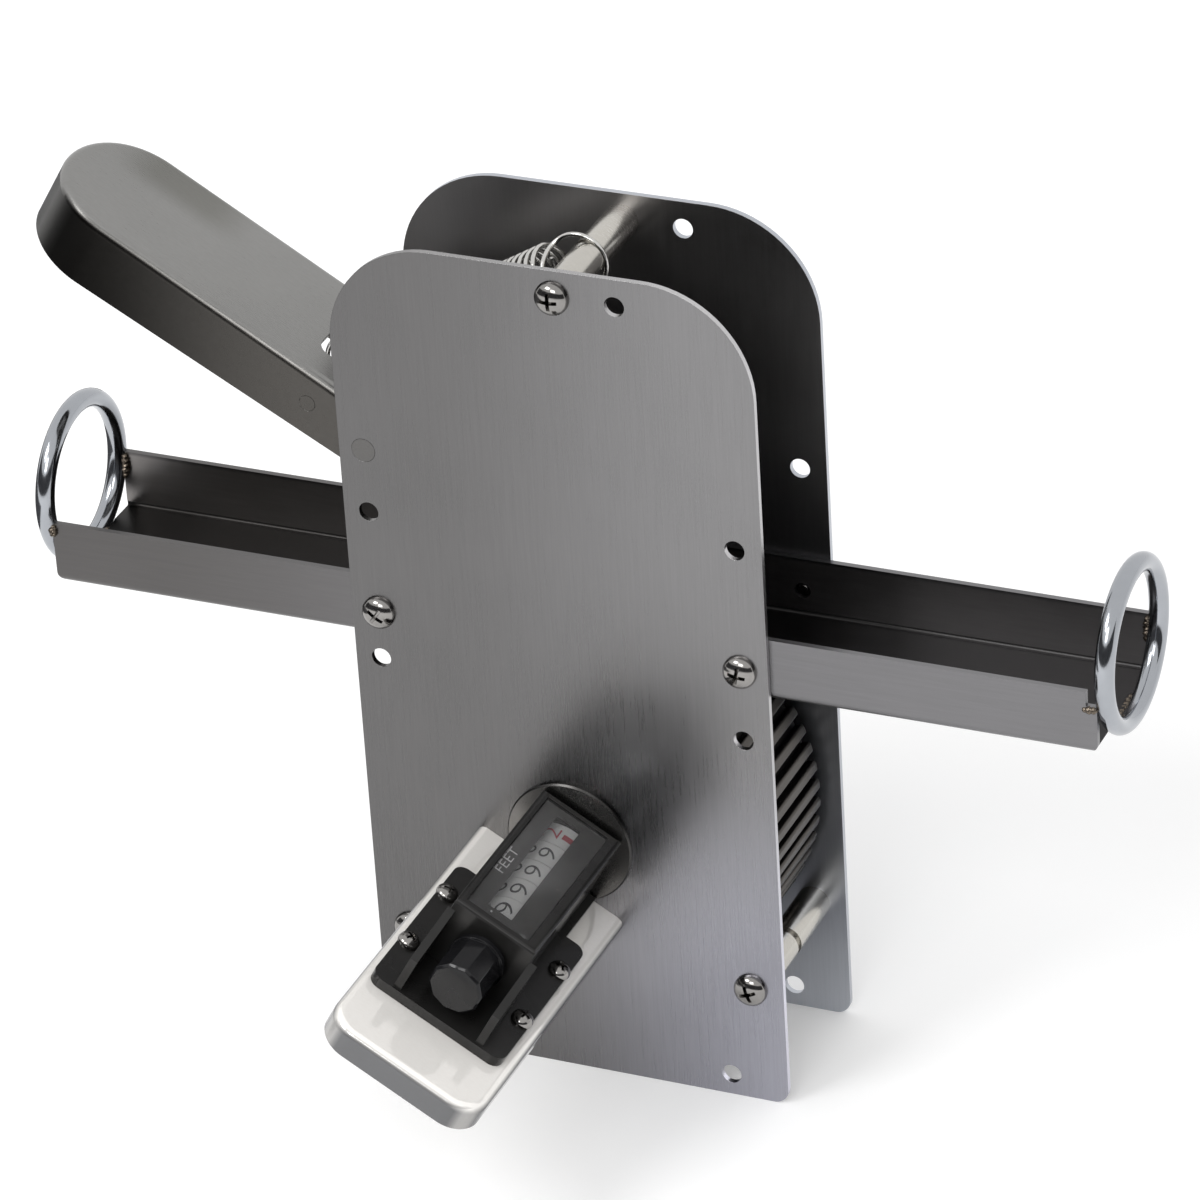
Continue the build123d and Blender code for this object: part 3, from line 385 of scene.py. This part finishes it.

# ---------------------------------------------------------------- guide trough
# One long channel folded from stainless sheet and open at the top. Its outside is satin; inside, its walls
# are painted lighter, as painted light, and its floor is much darker.
trough_steel = steel_base("trough_steel", (0.20, 0.197, 0.203, 1), (70, 1500, 1500), 0.33, 0.08, 0.006, 0.05)
trough_low, trough_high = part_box("guide_trough")
wall = 1.5 * MM
inner_near, inner_far = middle - 18.5 * MM, middle + 18.5 * MM
# the inside of the channel, walls and floor
run = together(trough_steel,
               along(trough_steel, "Y", inner_near, inner_near + 0.08 * MM),
               along(trough_steel, "Y", inner_far, inner_far - 0.08 * MM),
               along(trough_steel, "Z", trough_low.z + wall - 0.12 * MM, trough_low.z + wall - 0.05 * MM),
               along(trough_steel, "Z", trough_high.z - 0.2 * MM, trough_high.z - 1.2 * MM))
# painted light: the inside walls lighter than the outside
tone(trough_steel, run, (1.9, 1.87, 1.83))
# the floor inside much darker
tone(trough_steel, together(trough_steel, run, facing(trough_steel, (0, 0, 1), 0.02, 0.3)), 0.11)
# painted shade: darker towards the left end, under the lever
tone(trough_steel, along(trough_steel, "X", 20 * MM, -110 * MM), (0.62, 0.605, 0.58))
stone_edges("guide_trough", trough_steel, 0.2 * MM)

# ---------------------------------------------------------------- entry and exit rings
# Rings bent from bright plated wire 4.8 mm thick. They are welded to the ends of the trough, and the
# beads are left as they ran, lumpy and burnt brown beside the bright wire.
ring_bright = steel_base("ring_bright", (0.37, 0.385, 0.41, 1), (250, 250, 250), 0.12, 0.05, 0.002, 0.03)
for ring in ("entry_ring", "exit_ring"):
    finish_with(frame["nodes"][ring], ring_bright)
weld_burnt = steel_base("weld_burnt", (0.15, 0.125, 0.10, 1), (900, 900, 900), 0.30, 0.7, 0.05, 0.1)


def weld_bead(name, path, size, lumps):
    """A run of weld along the path: a tube that swells and narrows, closed at both ends."""
    path = [Vector((x, middle / MM + y, z)) * MM for x, y, z in path]
    steps, sides, points, faces = 7 * lumps, 14, [], []
    for step in range(steps + 1):
        t = step / steps
        at = t * (len(path) - 1)
        leg = min(int(at), len(path) - 2)
        here = path[leg].lerp(path[leg + 1], at - leg)
        way = (path[leg + 1] - path[leg]).normalized()
        across = way.orthogonal().normalized()
        over = way.cross(across)
        swell = size * MM * (0.72 + 0.28 * abs(sin(pi * lumps * t + 0.6)))
        swell *= 0.04 + 0.96 * sin(pi * t) ** 0.35
        for k in range(sides):
            angle = 2 * pi * k / sides
            bump = swell * (1 + 0.12 * sin(3 * angle + 5 * step) * sin(pi * t))
            points.append(here + across * cos(angle) * bump + over * sin(angle) * bump)
    for step in range(steps):
        for k in range(sides):
            a, b = step * sides + k, step * sides + (k + 1) % sides
            faces.append((a, b, b + sides, a + sides))
    faces += [tuple(reversed(range(sides))), tuple(range(steps * sides, (steps + 1) * sides))]
    mesh = bpy.data.meshes.new(name)
    mesh.from_pydata(points, [], faces)
    new_piece(name, mesh, "frame", weld_burnt, corner=60)


weld_x = 133.5
for end, name in ((-1, "entry"), (1, "exit")):
    x = end * weld_x
    weld_bead(name + "_weld_far_inside", [(x, 18.0, 128.8), (x, 17.9, 125.5), (x, 17.0, 122.3)], 1.15, 5)
    weld_bead(name + "_weld_far_outside", [(x, 20.1, 128.4), (x, 20.1, 125), (x, 20.0, 122.8)], 0.9, 4)
    weld_bead(name + "_weld_floor", [(x, -6.5, 114.3), (x, 0, 113.4), (x, 6.5, 114.3)], 1.0, 8)
weld_bead("entry_weld_near", [(-133.9, -19.7, 129.0), (-134.2, -20.2, 127.2), (-133.6, -20.2, 125.8)], 1.15, 3)
weld_bead("entry_weld_near_inside", [(-133.5, -18.0, 128.6), (-133.5, -17.9, 124.6)], 0.9, 4)
weld_bead("exit_weld_near", [(130.6, -19.6, 124.5), (132.6, -19.9, 124.7), (134.6, -20.0, 124.9)], 1.0, 3)
weld_bead("exit_weld_near_inside", [(133.5, -18.0, 124.8), (133.5, -17.6, 122.6)], 0.9, 3)

# ---------------------------------------------------------------- press handle
# A lever folded from stainless sheet and brushed along its length, with a round end, two arms down to
# the pressure wheel and a slot that the return spring drops into.
handle_steel = steel_base("handle_steel", (0.265, 0.262, 0.255, 1), (500, 3000, 500), 0.30, 0.09, 0.006, 0.05)
# painted shade: the flat sides darker than the top, and darkest towards the tip
for sideways in (-1, 1):
    flank = facing(handle_steel, (0, sideways, 0), 0.6, 0.9)
    tone(handle_steel, flank, (0.34, 0.325, 0.31))
    tone(handle_steel, together(handle_steel, flank, along(handle_steel, "X", -60 * MM, -125 * MM)), 0.1)
# darker on the top near the tip, on the far side
tone(handle_steel, together(handle_steel, facing(handle_steel, (0, 0, 1)),
                            along(handle_steel, "X", -124 * MM, -112 * MM),
                            along(handle_steel, "X", -88 * MM, -101 * MM),
                            along(handle_steel, "Y", middle + 2 * MM, middle + 11 * MM)), (0.72, 0.72, 0.69))
stone_edges("press_handle", handle_steel, 0.2 * MM)
finish_with(frame["nodes"]["spring_pin"], handle_steel)  # ground off flush with the lever's sides

# ---------------------------------------------------------------- pressure wheel
# A black nylon core moulded round its bore, with a matt rubber tyre slightly hollow across its face.
# The tyre presses the rope down on the measuring wheel.


def moulding(name, colour, roughness, grain, depth, mottle=0.15, spread=0.05):
    """Moulded plastic or rubber: a fine skin and slow changes of gloss and colour."""
    plastic = bpy.data.materials.new(name)
    plastic.use_nodes = True
    nodes, links = plastic.node_tree.nodes, plastic.node_tree.links
    shader = nodes["Principled BSDF"]
    place = nodes.new("ShaderNodeTexCoord")
    skin = nodes.new("ShaderNodeTexNoise")
    skin.inputs["Scale"].default_value = grain
    skin.inputs["Detail"].default_value = 3
    links.new(place.outputs["Object"], skin.inputs["Vector"])
    slow = nodes.new("ShaderNodeTexNoise")
    slow.inputs["Scale"].default_value = 90
    slow.inputs["Detail"].default_value = 4
    links.new(place.outputs["Object"], slow.inputs["Vector"])
    tint = nodes.new("ShaderNodeValToRGB")
    low, high = tint.color_ramp.elements
    low.position, high.position = 0.35, 0.65
    low.color = [c * (1 - mottle) for c in colour[:3]] + [1]
    high.color = [min(1, c * (1 + mottle) + 0.002) for c in colour[:3]] + [1]
    links.new(slow.outputs["Fac"], tint.inputs["Fac"])
    links.new(tint.outputs["Color"], shader.inputs["Base Color"])
    dull = nodes.new("ShaderNodeMapRange")
    dull.inputs["From Min"].default_value = 0.35
    dull.inputs["From Max"].default_value = 0.65
    dull.inputs["To Min"].default_value = roughness - spread
    dull.inputs["To Max"].default_value = roughness + spread
    links.new(slow.outputs["Fac"], dull.inputs["Value"])
    links.new(dull.outputs["Result"], shader.inputs["Roughness"])
    shader.inputs["Specular IOR Level"].default_value = 0.3
    relief = nodes.new("ShaderNodeBump")
    relief.inputs["Strength"].default_value = 0.4
    relief.inputs["Distance"].default_value = depth * MM
    links.new(skin.outputs["Fac"], relief.inputs["Height"])
    links.new(relief.outputs["Normal"], shader.inputs["Normal"])
    return plastic


finish_with(frame["nodes"]["pressure_wheel"], moulding("black_nylon", (0.02, 0.02, 0.02), 0.42, 2500, 0.01))
finish_with(frame["nodes"]["pressure_wheel_tyre"],
            moulding("tyre_rubber", (0.022, 0.021, 0.02), 0.62, 1800, 0.03, 0.3, 0.1))

# ---------------------------------------------------------------- return spring
# A long extension spring wound from bright 1.2 mm wire. Its top loop hooks over the upper spacer and its
# foot loop round the pin inside the lever. The real spring stretches as the lever is pressed; this wire is
# built at rest on no body.
spring_bright = steel_base("spring_bright", (0.58, 0.57, 0.55, 1), (900, 900, 900), 0.16, 0.1, 0.004, 0.04)
coil = 7.0 * MM
wire = 0.6 * MM
pitch = 2.13 * MM
rise = 6.3 * MM  # from a loop to the first full turn
lean = radians(30.5)
upper = Vector((4.4 * MM, middle, 212.5 * MM))
foot = Vector(((-47.2 - 17.5 * cos(lean)) * MM, middle, (164.4 + 17.5 * sin(lean)) * MM))
pull = (foot - upper).normalized()
wide = Vector((-pull.z, 0, pull.x))
side = Vector((0, 1, 0))
top_loop = upper + pull * 2.85 * MM
foot_loop = foot - pull * 4.35 * MM
body_length = (foot_loop - top_loop).length - 2 * rise
half_turns = 2 * round(body_length / pitch)
line = [top_loop - (wide * cos(radians(a)) + pull * sin(radians(a))) * coil for a in range(300, -1, -10)]
steps_of_half = 12
turns = []
for step in range(half_turns * steps_of_half + 1):
    angle = pi * step / steps_of_half
    turns.append(top_loop + pull * (rise + body_length * step / (half_turns * steps_of_half))
                 + (wide * sin(angle) - side * cos(angle)) * coil)
hook = [foot_loop + (wide * cos(radians(a)) + pull * sin(radians(a))) * coil for a in range(0, 301, 10)]


def sweep_over(start, leave, finish, arrive, steps=12):
    """Points of a smooth bend that leaves start one way and reaches finish another."""
    far = (finish - start).length * 1.25
    bend = []
    for step in range(1, steps):
        t = step / steps
        bend.append(start * (2 * t**3 - 3 * t**2 + 1) + leave * far * (t**3 - 2 * t**2 + t)
                    + finish * (3 * t**2 - 2 * t**3) + arrive * far * (t**3 - t**2))
    return bend


line += sweep_over(line[-1], pull, turns[0], (turns[1] - turns[0]).normalized()) + turns
line += sweep_over(line[-1], (turns[-1] - turns[-2]).normalized(), hook[0], pull) + hook


def round_wire(name, path, radius, sides=12):
    """Round wire along the path, with its two cut ends slightly rounded."""
    points, faces = [], []
    normal = (path[1] - path[0]).orthogonal().normalized()
    for k, here in enumerate(path):
        way = (path[min(k + 1, len(path) - 1)] - path[max(k - 1, 0)]).normalized()
        normal = (normal - way * normal.dot(way)).normalized()
        other = way.cross(normal)
        size = radius * (0.8 if k in (0, len(path) - 1) else 1)
        points += [here + (normal * cos(2 * pi * s / sides) + other * sin(2 * pi * s / sides)) * size
                   for s in range(sides)]
    for k in range(len(path) - 1):
        for s in range(sides):
            a, b = k * sides + s, k * sides + (s + 1) % sides
            faces.append((a, b, b + sides, a + sides))
    faces += [tuple(reversed(range(sides))), tuple(range((len(path) - 1) * sides, len(path) * sides))]
    mesh = bpy.data.meshes.new(name)
    mesh.from_pydata(points, [], faces)
    return mesh


spring = new_piece("return_spring_wire", round_wire("return_spring_wire", line, wire), None,
                   spring_bright, ["return_spring"], corner=60)
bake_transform(spring)

# ---------------------------------------------------------------- counter shelf
# A tray folded from stainless sheet, tilted 30 degrees and welded to the front plate. Its top is
# polished like a mirror and near white with a painted reflection, and its turned-down sides are left satin.
tilt = radians(30)
across_shelf = Vector((cos(tilt), 0, -sin(tilt)))
off_shelf = Vector((sin(tilt), 0, cos(tilt)))
# painted reflection: a near-white, partly diffuse colour on the top; the sides are toned back to steel
shelf_steel = steel_base("shelf_steel", (0.98, 0.95, 0.91, 1), (700, 1600, 700), 0.09, 0.03, 0.003, 0.02)
shelf_steel.node_tree.nodes["Principled BSDF"].inputs["Metallic"].default_value = 0.25
for way, share in ((across_shelf, 0.10), (-across_shelf, 0.14), (Vector((0, -1, 0)), 0.15)):
    tone(shelf_steel, facing(shelf_steel, tuple(way), 0.55, 0.95), (share, share * 1.03, share * 1.11))
stone_edges("counter_shelf", shelf_steel, 0.15 * MM)

# ---------------------------------------------------------------- counter case
# Black gloss mouldings: the base with a sloping cheek each side of the knob, and the housing with its
# framed window. Four small domed screws and nuts hold the base down.
case_black = moulding("case_black", (0.014, 0.0135, 0.013), 0.2, 1600, 0.004)
stone_edges("counter_base", case_black, 0.3 * MM)
stone_edges("counter_housing", case_black, 0.3 * MM)


def on_counter(s, y, h):
    """A place on the counter in mm: s across the shelf, y from the plates' middle, h above the shelf."""
    place = across_shelf * s + off_shelf * (h - 11.7)
    return Vector((place.x, middle / MM + y, 65.2 + place.z)) * MM


base_top = 2.8
small_screw = domed_screw(2.8 * MM, 2.15 * MM, 1.45 * MM, 7.2 * MM)
shelf_turn = Matrix((across_shelf, off_shelf.cross(across_shelf), off_shelf)).transposed().to_4x4()
small_places = [(-16.2, -53.5, 15), (-16.2, -75.5, 60), (16.2, -53.5, 30), (16.2, -75.5, 75)]
screw_seats = [Matrix.Translation(on_counter(s, y, base_top)) @ shelf_turn
               @ Matrix.Rotation(radians(turn), 4, "Z") for s, y, turn in small_places]
new_piece("counter_screws_domed", copies("counter_screws_domed", small_screw, screw_seats), "frame",
          screw_bright, ["counter_screws"], corner=40)
finish_with(frame["nodes"]["counter_nuts"], screw_bright)

# ---------------------------------------------------------------- figure wheels
# Five pale moulded wheels on the counter's shaft. The figures run round them from 0 to 9, black for whole
# feet and red for the tenths wheel, which stands between two figures.
wheel_radius = 7.9
first_wheel, wheel_step = -32.7, -8.0  # from the plates' middle, in mm
reading_line = -12.8  # where the figures are read, in degrees from straight up
figure_white = moulding("figure_white", (0.80, 0.80, 0.79), 0.45, 1500, 0.008, 0.06)
ink_black = moulding("ink_black", (0.03, 0.03, 0.035), 0.5, 1500, 0.004, 0.3)
ink_red = moulding("ink_red", (0.50, 0.06, 0.08), 0.5, 1500, 0.004, 0.2)


def lettering(words, wide, tall, thick, thin=0.0):
    """Printed characters as a thin solid in mm, centred, reading along X with their tops towards Y."""
    curve = bpy.data.curves.new("lettering", "FONT")
    curve.body = words
    curve.extrude = 0.5
    curve.offset = -thin
    curve.resolution_u = 6
    text = bpy.data.objects.new("lettering", curve)
    bpy.context.scene.collection.objects.link(text)
    bpy.context.view_layer.update()
    flat_mesh = mesh_after(text)
    shape = bmesh.new()
    shape.from_mesh(flat_mesh)
    low = Vector([min(v.co[k] for v in shape.verts) for k in range(3)])
    high = Vector([max(v.co[k] for v in shape.verts) for k in range(3)])
    for v in shape.verts:
        v.co = Vector(((v.co.x - (low.x + high.x) / 2) * wide / (high.x - low.x),
                       (v.co.y - (low.y + high.y) / 2) * tall / (high.y - low.y), v.co.z * thick))
    strip = 0.4  # cut across into strips that can bend round a wheel
    cut = -tall / 2 + strip
    while cut < tall / 2:
        bmesh.ops.bisect_plane(shape, geom=shape.verts[:] + shape.edges[:] + shape.faces[:],
                               plane_co=(0, cut, 0), plane_no=(0, 1, 0))
        cut += strip
    return shape


def figures_round(name, body, y, shown, ink):
    """The ten figures of one wheel, wrapped round its rim; shown is the figure at the window."""
    band = bmesh.new()
    for figure in range(10):
        shape = lettering(str(figure), 1.9 if figure == 1 else 3.9, 4.1, 0.06, 0.012)
        for v in shape.verts:
            angle = radians(reading_line - 36 * (figure - shown)) - v.co.y / wheel_radius
            reach = wheel_radius + 0.01 + v.co.z
            v.co = on_counter(reach * sin(angle), y + v.co.x, 11.7 + reach * cos(angle))
        flat_mesh = bpy.data.meshes.new("figure")
        shape.to_mesh(flat_mesh)
        shape.free()
        band.from_mesh(flat_mesh)
    mesh = bpy.data.meshes.new(name)
    band.to_mesh(mesh)
    band.free()
    new_piece(name, mesh, body, ink, corner=40)


for number, body in enumerate(("tenths", "ones", "tens", "hundreds", "thousands")):
    finish_with(frame["nodes"][body + "_wheel"], figure_white)
    figures_round(body + "_figures", body, first_wheel + wheel_step * number, 1.5 if number == 0 else 9,
                  ink_red if number == 0 else ink_black)

# ---------------------------------------------------------------- mask and window
# A dark card with a slot over the figures and the unit printed above it in pale letters, under a
# flat pane of clear plastic. The card has pale scuffs scattered over it, from being fitted.
mask_dark = moulding("mask_dark", (0.05, 0.047, 0.045), 0.5, 1200, 0.006, 0.3)
mask_nodes, mask_links = mask_dark.node_tree.nodes, mask_dark.node_tree.links
mask_place = mask_nodes.new("ShaderNodeTexCoord")
scuffs = mask_nodes.new("ShaderNodeTexNoise")
scuffs.inputs["Scale"].default_value = 420
scuffs.inputs["Detail"].default_value = 6
scuffs.inputs["Roughness"].default_value = 0.7
mask_links.new(mask_place.outputs["Object"], scuffs.inputs["Vector"])
bare = mask_nodes.new("ShaderNodeMapRange")
bare.inputs["From Min"].default_value = 0.66
bare.inputs["From Max"].default_value = 0.72
mask_links.new(scuffs.outputs["Fac"], bare.inputs["Value"])
tone(mask_dark, bare.outputs["Result"], (6.0, 5.6, 5.2))
finish_with(frame["nodes"]["counter_mask"], mask_dark)
ink_pale = moulding("ink_pale", (0.85, 0.85, 0.84), 0.5, 1500, 0.004, 0.2)
card_top = 20.61
word = lettering("FEET", 10.0, 2.3, 0.03, 0.01)
for v in word.verts:
    v.co = on_counter(-8.25 - v.co.y, -52.25 + v.co.x, card_top + v.co.z)
dot = lettering(".", 0.55, 0.55, 0.03)  # the printer's mark at the foot of the card
for v in dot.verts:
    v.co = on_counter(-3.7 - v.co.y, -70.7 + v.co.x, card_top + v.co.z)
print_mesh = bpy.data.meshes.new("unit_word")
dot.to_mesh(print_mesh)
word.from_mesh(print_mesh)
word.to_mesh(print_mesh)
word.free()
dot.free()
new_piece("unit_word", print_mesh, "frame", ink_pale, corner=40)

clear = bpy.data.materials.new("window_clear")
clear.use_nodes = True
clear_nodes, clear_links = clear.node_tree.nodes, clear.node_tree.links
clear_shader = clear_nodes["Principled BSDF"]
clear_shader.inputs["IOR"].default_value = 1.45
clear_shader.inputs["Transmission Weight"].default_value = 0.975
clear_place = clear_nodes.new("ShaderNodeTexCoord")
haze = clear_nodes.new("ShaderNodeTexNoise")
haze.inputs["Scale"].default_value = 110
haze.inputs["Detail"].default_value = 4
clear_links.new(clear_place.outputs["Object"], haze.inputs["Vector"])
worn = clear_nodes.new("ShaderNodeMapRange")
worn.inputs["From Min"].default_value = 0.4
worn.inputs["From Max"].default_value = 0.75
worn.inputs["To Min"].default_value = 0.02
worn.inputs["To Max"].default_value = 0.14
clear_links.new(haze.outputs["Fac"], worn.inputs["Value"])
clear_links.new(worn.outputs["Result"], clear_shader.inputs["Roughness"])
pane_outline = [(-9.75, -25.7), (7.55, -25.7), (7.55, -73.3), (-9.75, -73.3)]
pane_corners = [(s, y, h) for h in (20.68, 21.8) for s, y in pane_outline]
pane_mesh = bpy.data.meshes.new("pane")
pane_mesh.from_pydata([on_counter(*corner) for corner in pane_corners], [],
                      [(0, 1, 2, 3), (7, 6, 5, 4), (0, 4, 5, 1), (1, 5, 6, 2), (2, 6, 7, 3), (3, 7, 4, 0)])
pane = bpy.data.objects.new("pane", pane_mesh)
bpy.context.scene.collection.objects.link(pane)
rounded = pane.modifiers.new("edges", "BEVEL")
rounded.width = 0.25 * MM
rounded.segments = 3
new_piece("counter_window_pane", mesh_after(pane), "frame", clear, ["counter_window"])

# ---------------------------------------------------------------- reset knob
# A ten-sided black knob on a short spindle, turned by hand to bring the figures back to nought. Its
# moulded flats are glossy.
knob_black = moulding("knob_black", (0.008, 0.008, 0.009), 0.14, 1500, 0.003, 0.2, 0.03)
stone_edges("reset_knob", knob_black, 0.25 * MM)

# ---------------------------------------------------------------- floor, light and camera
# A plain white floor and background, two softboxes above the counter's side, and the dim far wall of the
# studio behind the camera, which only polished metal shows.
floor_mesh = bpy.data.meshes.new("floor")
far_edge = 12
floor_mesh.from_pydata([(-far_edge, -far_edge, 0), (far_edge, -far_edge, 0), (far_edge, far_edge, 0),
                        (-far_edge, far_edge, 0)], [], [(0, 1, 2, 3)])
floor = bpy.data.objects.new("floor", floor_mesh)
bpy.context.scene.collection.objects.link(floor)
floor_white = bpy.data.materials.new("floor_white")
floor_white.use_nodes = True
floor_nodes, floor_links = floor_white.node_tree.nodes, floor_white.node_tree.links
floor_shader = floor_nodes["Principled BSDF"]
floor_shader.inputs["Base Color"].default_value = (0.86, 0.86, 0.86, 1)
floor_shader.inputs["Roughness"].default_value = 0.9
floor_shader.inputs["Specular IOR Level"].default_value = 0.1
floor_shader.inputs["Emission Color"].default_value = (1, 1, 1, 1)


def seen_directly(nodes, links):
    """1 for what the camera sees, also in metal and through glass."""
    rays = nodes.new("ShaderNodeLightPath")
    total = rays.outputs["Is Camera Ray"]
    for kind in ("Is Glossy Ray", "Is Transmission Ray"):
        add = nodes.new("ShaderNodeMath")
        add.operation = "ADD"
        add.use_clamp = True
        links.new(total, add.inputs[0])
        links.new(rays.outputs[kind], add.inputs[1])
        total = add.outputs["Value"]
    return total


glow = floor_nodes.new("ShaderNodeMath")
glow.operation = "MULTIPLY"
glow.inputs[1].default_value = 0.22
floor_links.new(seen_directly(floor_nodes, floor_links), glow.inputs[0])
floor_links.new(glow.outputs["Value"], floor_shader.inputs["Emission Strength"])
floor_mesh.materials.append(floor_white)

wall_away, wall_height = 3.2, 1.5
wall_points = [(wall_away * cos(radians(a)), wall_away * sin(radians(a)), z)
               for z in (0.0, wall_height) for a in range(185, 356, 10)]
row = len(wall_points) // 2
wall_mesh = bpy.data.meshes.new("studio_wall")
wall_mesh.from_pydata(wall_points, [], [(k, k + 1, row + k + 1, row + k) for k in range(row - 1)])
studio_wall = bpy.data.objects.new("studio_wall", wall_mesh)
bpy.context.scene.collection.objects.link(studio_wall)
flag_mesh = bpy.data.meshes.new("black_flag")
flag_mesh.from_pydata([(-1.8, -0.4, 0.001), (-0.3, -0.4, 0.001), (-0.3, 0.8, 0.001), (-1.8, 0.8, 0.001)], [],
                      [(0, 1, 2, 3)])
black_flag = bpy.data.objects.new("black_flag", flag_mesh)  # a dark card laid left of the counter
bpy.context.scene.collection.objects.link(black_flag)
for card in (studio_wall, black_flag):
    card.visible_camera = False
    card.visible_diffuse = False
    card.visible_shadow = False
dim = bpy.data.materials.new("wall_dim")
dim.use_nodes = True
dim.node_tree.nodes["Principled BSDF"].inputs["Base Color"].default_value = (0.08, 0.08, 0.085, 1)
dim.node_tree.nodes["Principled BSDF"].inputs["Roughness"].default_value = 1
wall_mesh.materials.append(dim)
flag_mesh.materials.append(dim)

for power, lamp_at in ((11, (-0.75, -1.05, 1.55)), (6, (0.15, -1.45, 1.25))):
    lamp_data = bpy.data.lights.new("softbox", "AREA")
    lamp_data.shape = "RECTANGLE"
    lamp_data.size, lamp_data.size_y = 0.7, 0.55
    lamp_data.energy = power
    lamp = bpy.data.objects.new("softbox", lamp_data)
    lamp.location = lamp_at
    lamp.rotation_euler = (Vector((0, 0, 0.1)) - lamp.location).to_track_quat("-Z", "Y").to_euler()
    bpy.context.scene.collection.objects.link(lamp)

world = bpy.data.worlds.new("studio")
bpy.context.scene.world = world
world.use_nodes = True
sky, sky_links = world.node_tree.nodes, world.node_tree.links
heading = sky.new("ShaderNodeTexCoord")
height = sky.new("ShaderNodeSeparateXYZ")
sky_links.new(heading.outputs["Generated"], height.inputs["Vector"])
dome = sky.new("ShaderNodeValToRGB")
dome.color_ramp.elements[0].position = 0.0
dome.color_ramp.elements[0].color = (0.35, 0.35, 0.36, 1)
dome.color_ramp.elements[1].position = 0.62
dome.color_ramp.elements[1].color = (0.95, 0.95, 0.95, 1)
sky_links.new(height.outputs["Z"], dome.inputs["Fac"])
pick = sky.new("ShaderNodeMix")
pick.data_type = "RGBA"
sky_links.new(seen_directly(sky, sky_links), pick.inputs["Factor"])
sky_links.new(dome.outputs["Color"], pick.inputs[6])
pick.inputs[7].default_value = (1, 1, 1, 1)
sky_links.new(pick.outputs[2], sky["Background"].inputs["Color"])
sky["Background"].inputs["Strength"].default_value = 1

camera_data = bpy.data.cameras.new("camera")
camera_data.sensor_width = 36
camera_data.lens = 201.79
camera_data.clip_end = 50
camera = bpy.data.objects.new("camera", camera_data)
bpy.context.scene.collection.objects.link(camera)
forward = Vector((-0.3646, 0.7881, -0.4959)).normalized()  # the photograph's angle
right = Vector((0.919, 0.3902, -0.0556))
right = (right - forward * right.dot(forward)).normalized()
up = right.cross(forward)
turn = Matrix((right, up, -forward)).transposed()
camera.matrix_world = Matrix.Translation((0.5875, middle - 1.2661, 0.917)) @ turn.to_4x4()
bpy.context.scene.camera = camera
bpy.context.scene.view_settings.view_transform = "Standard"
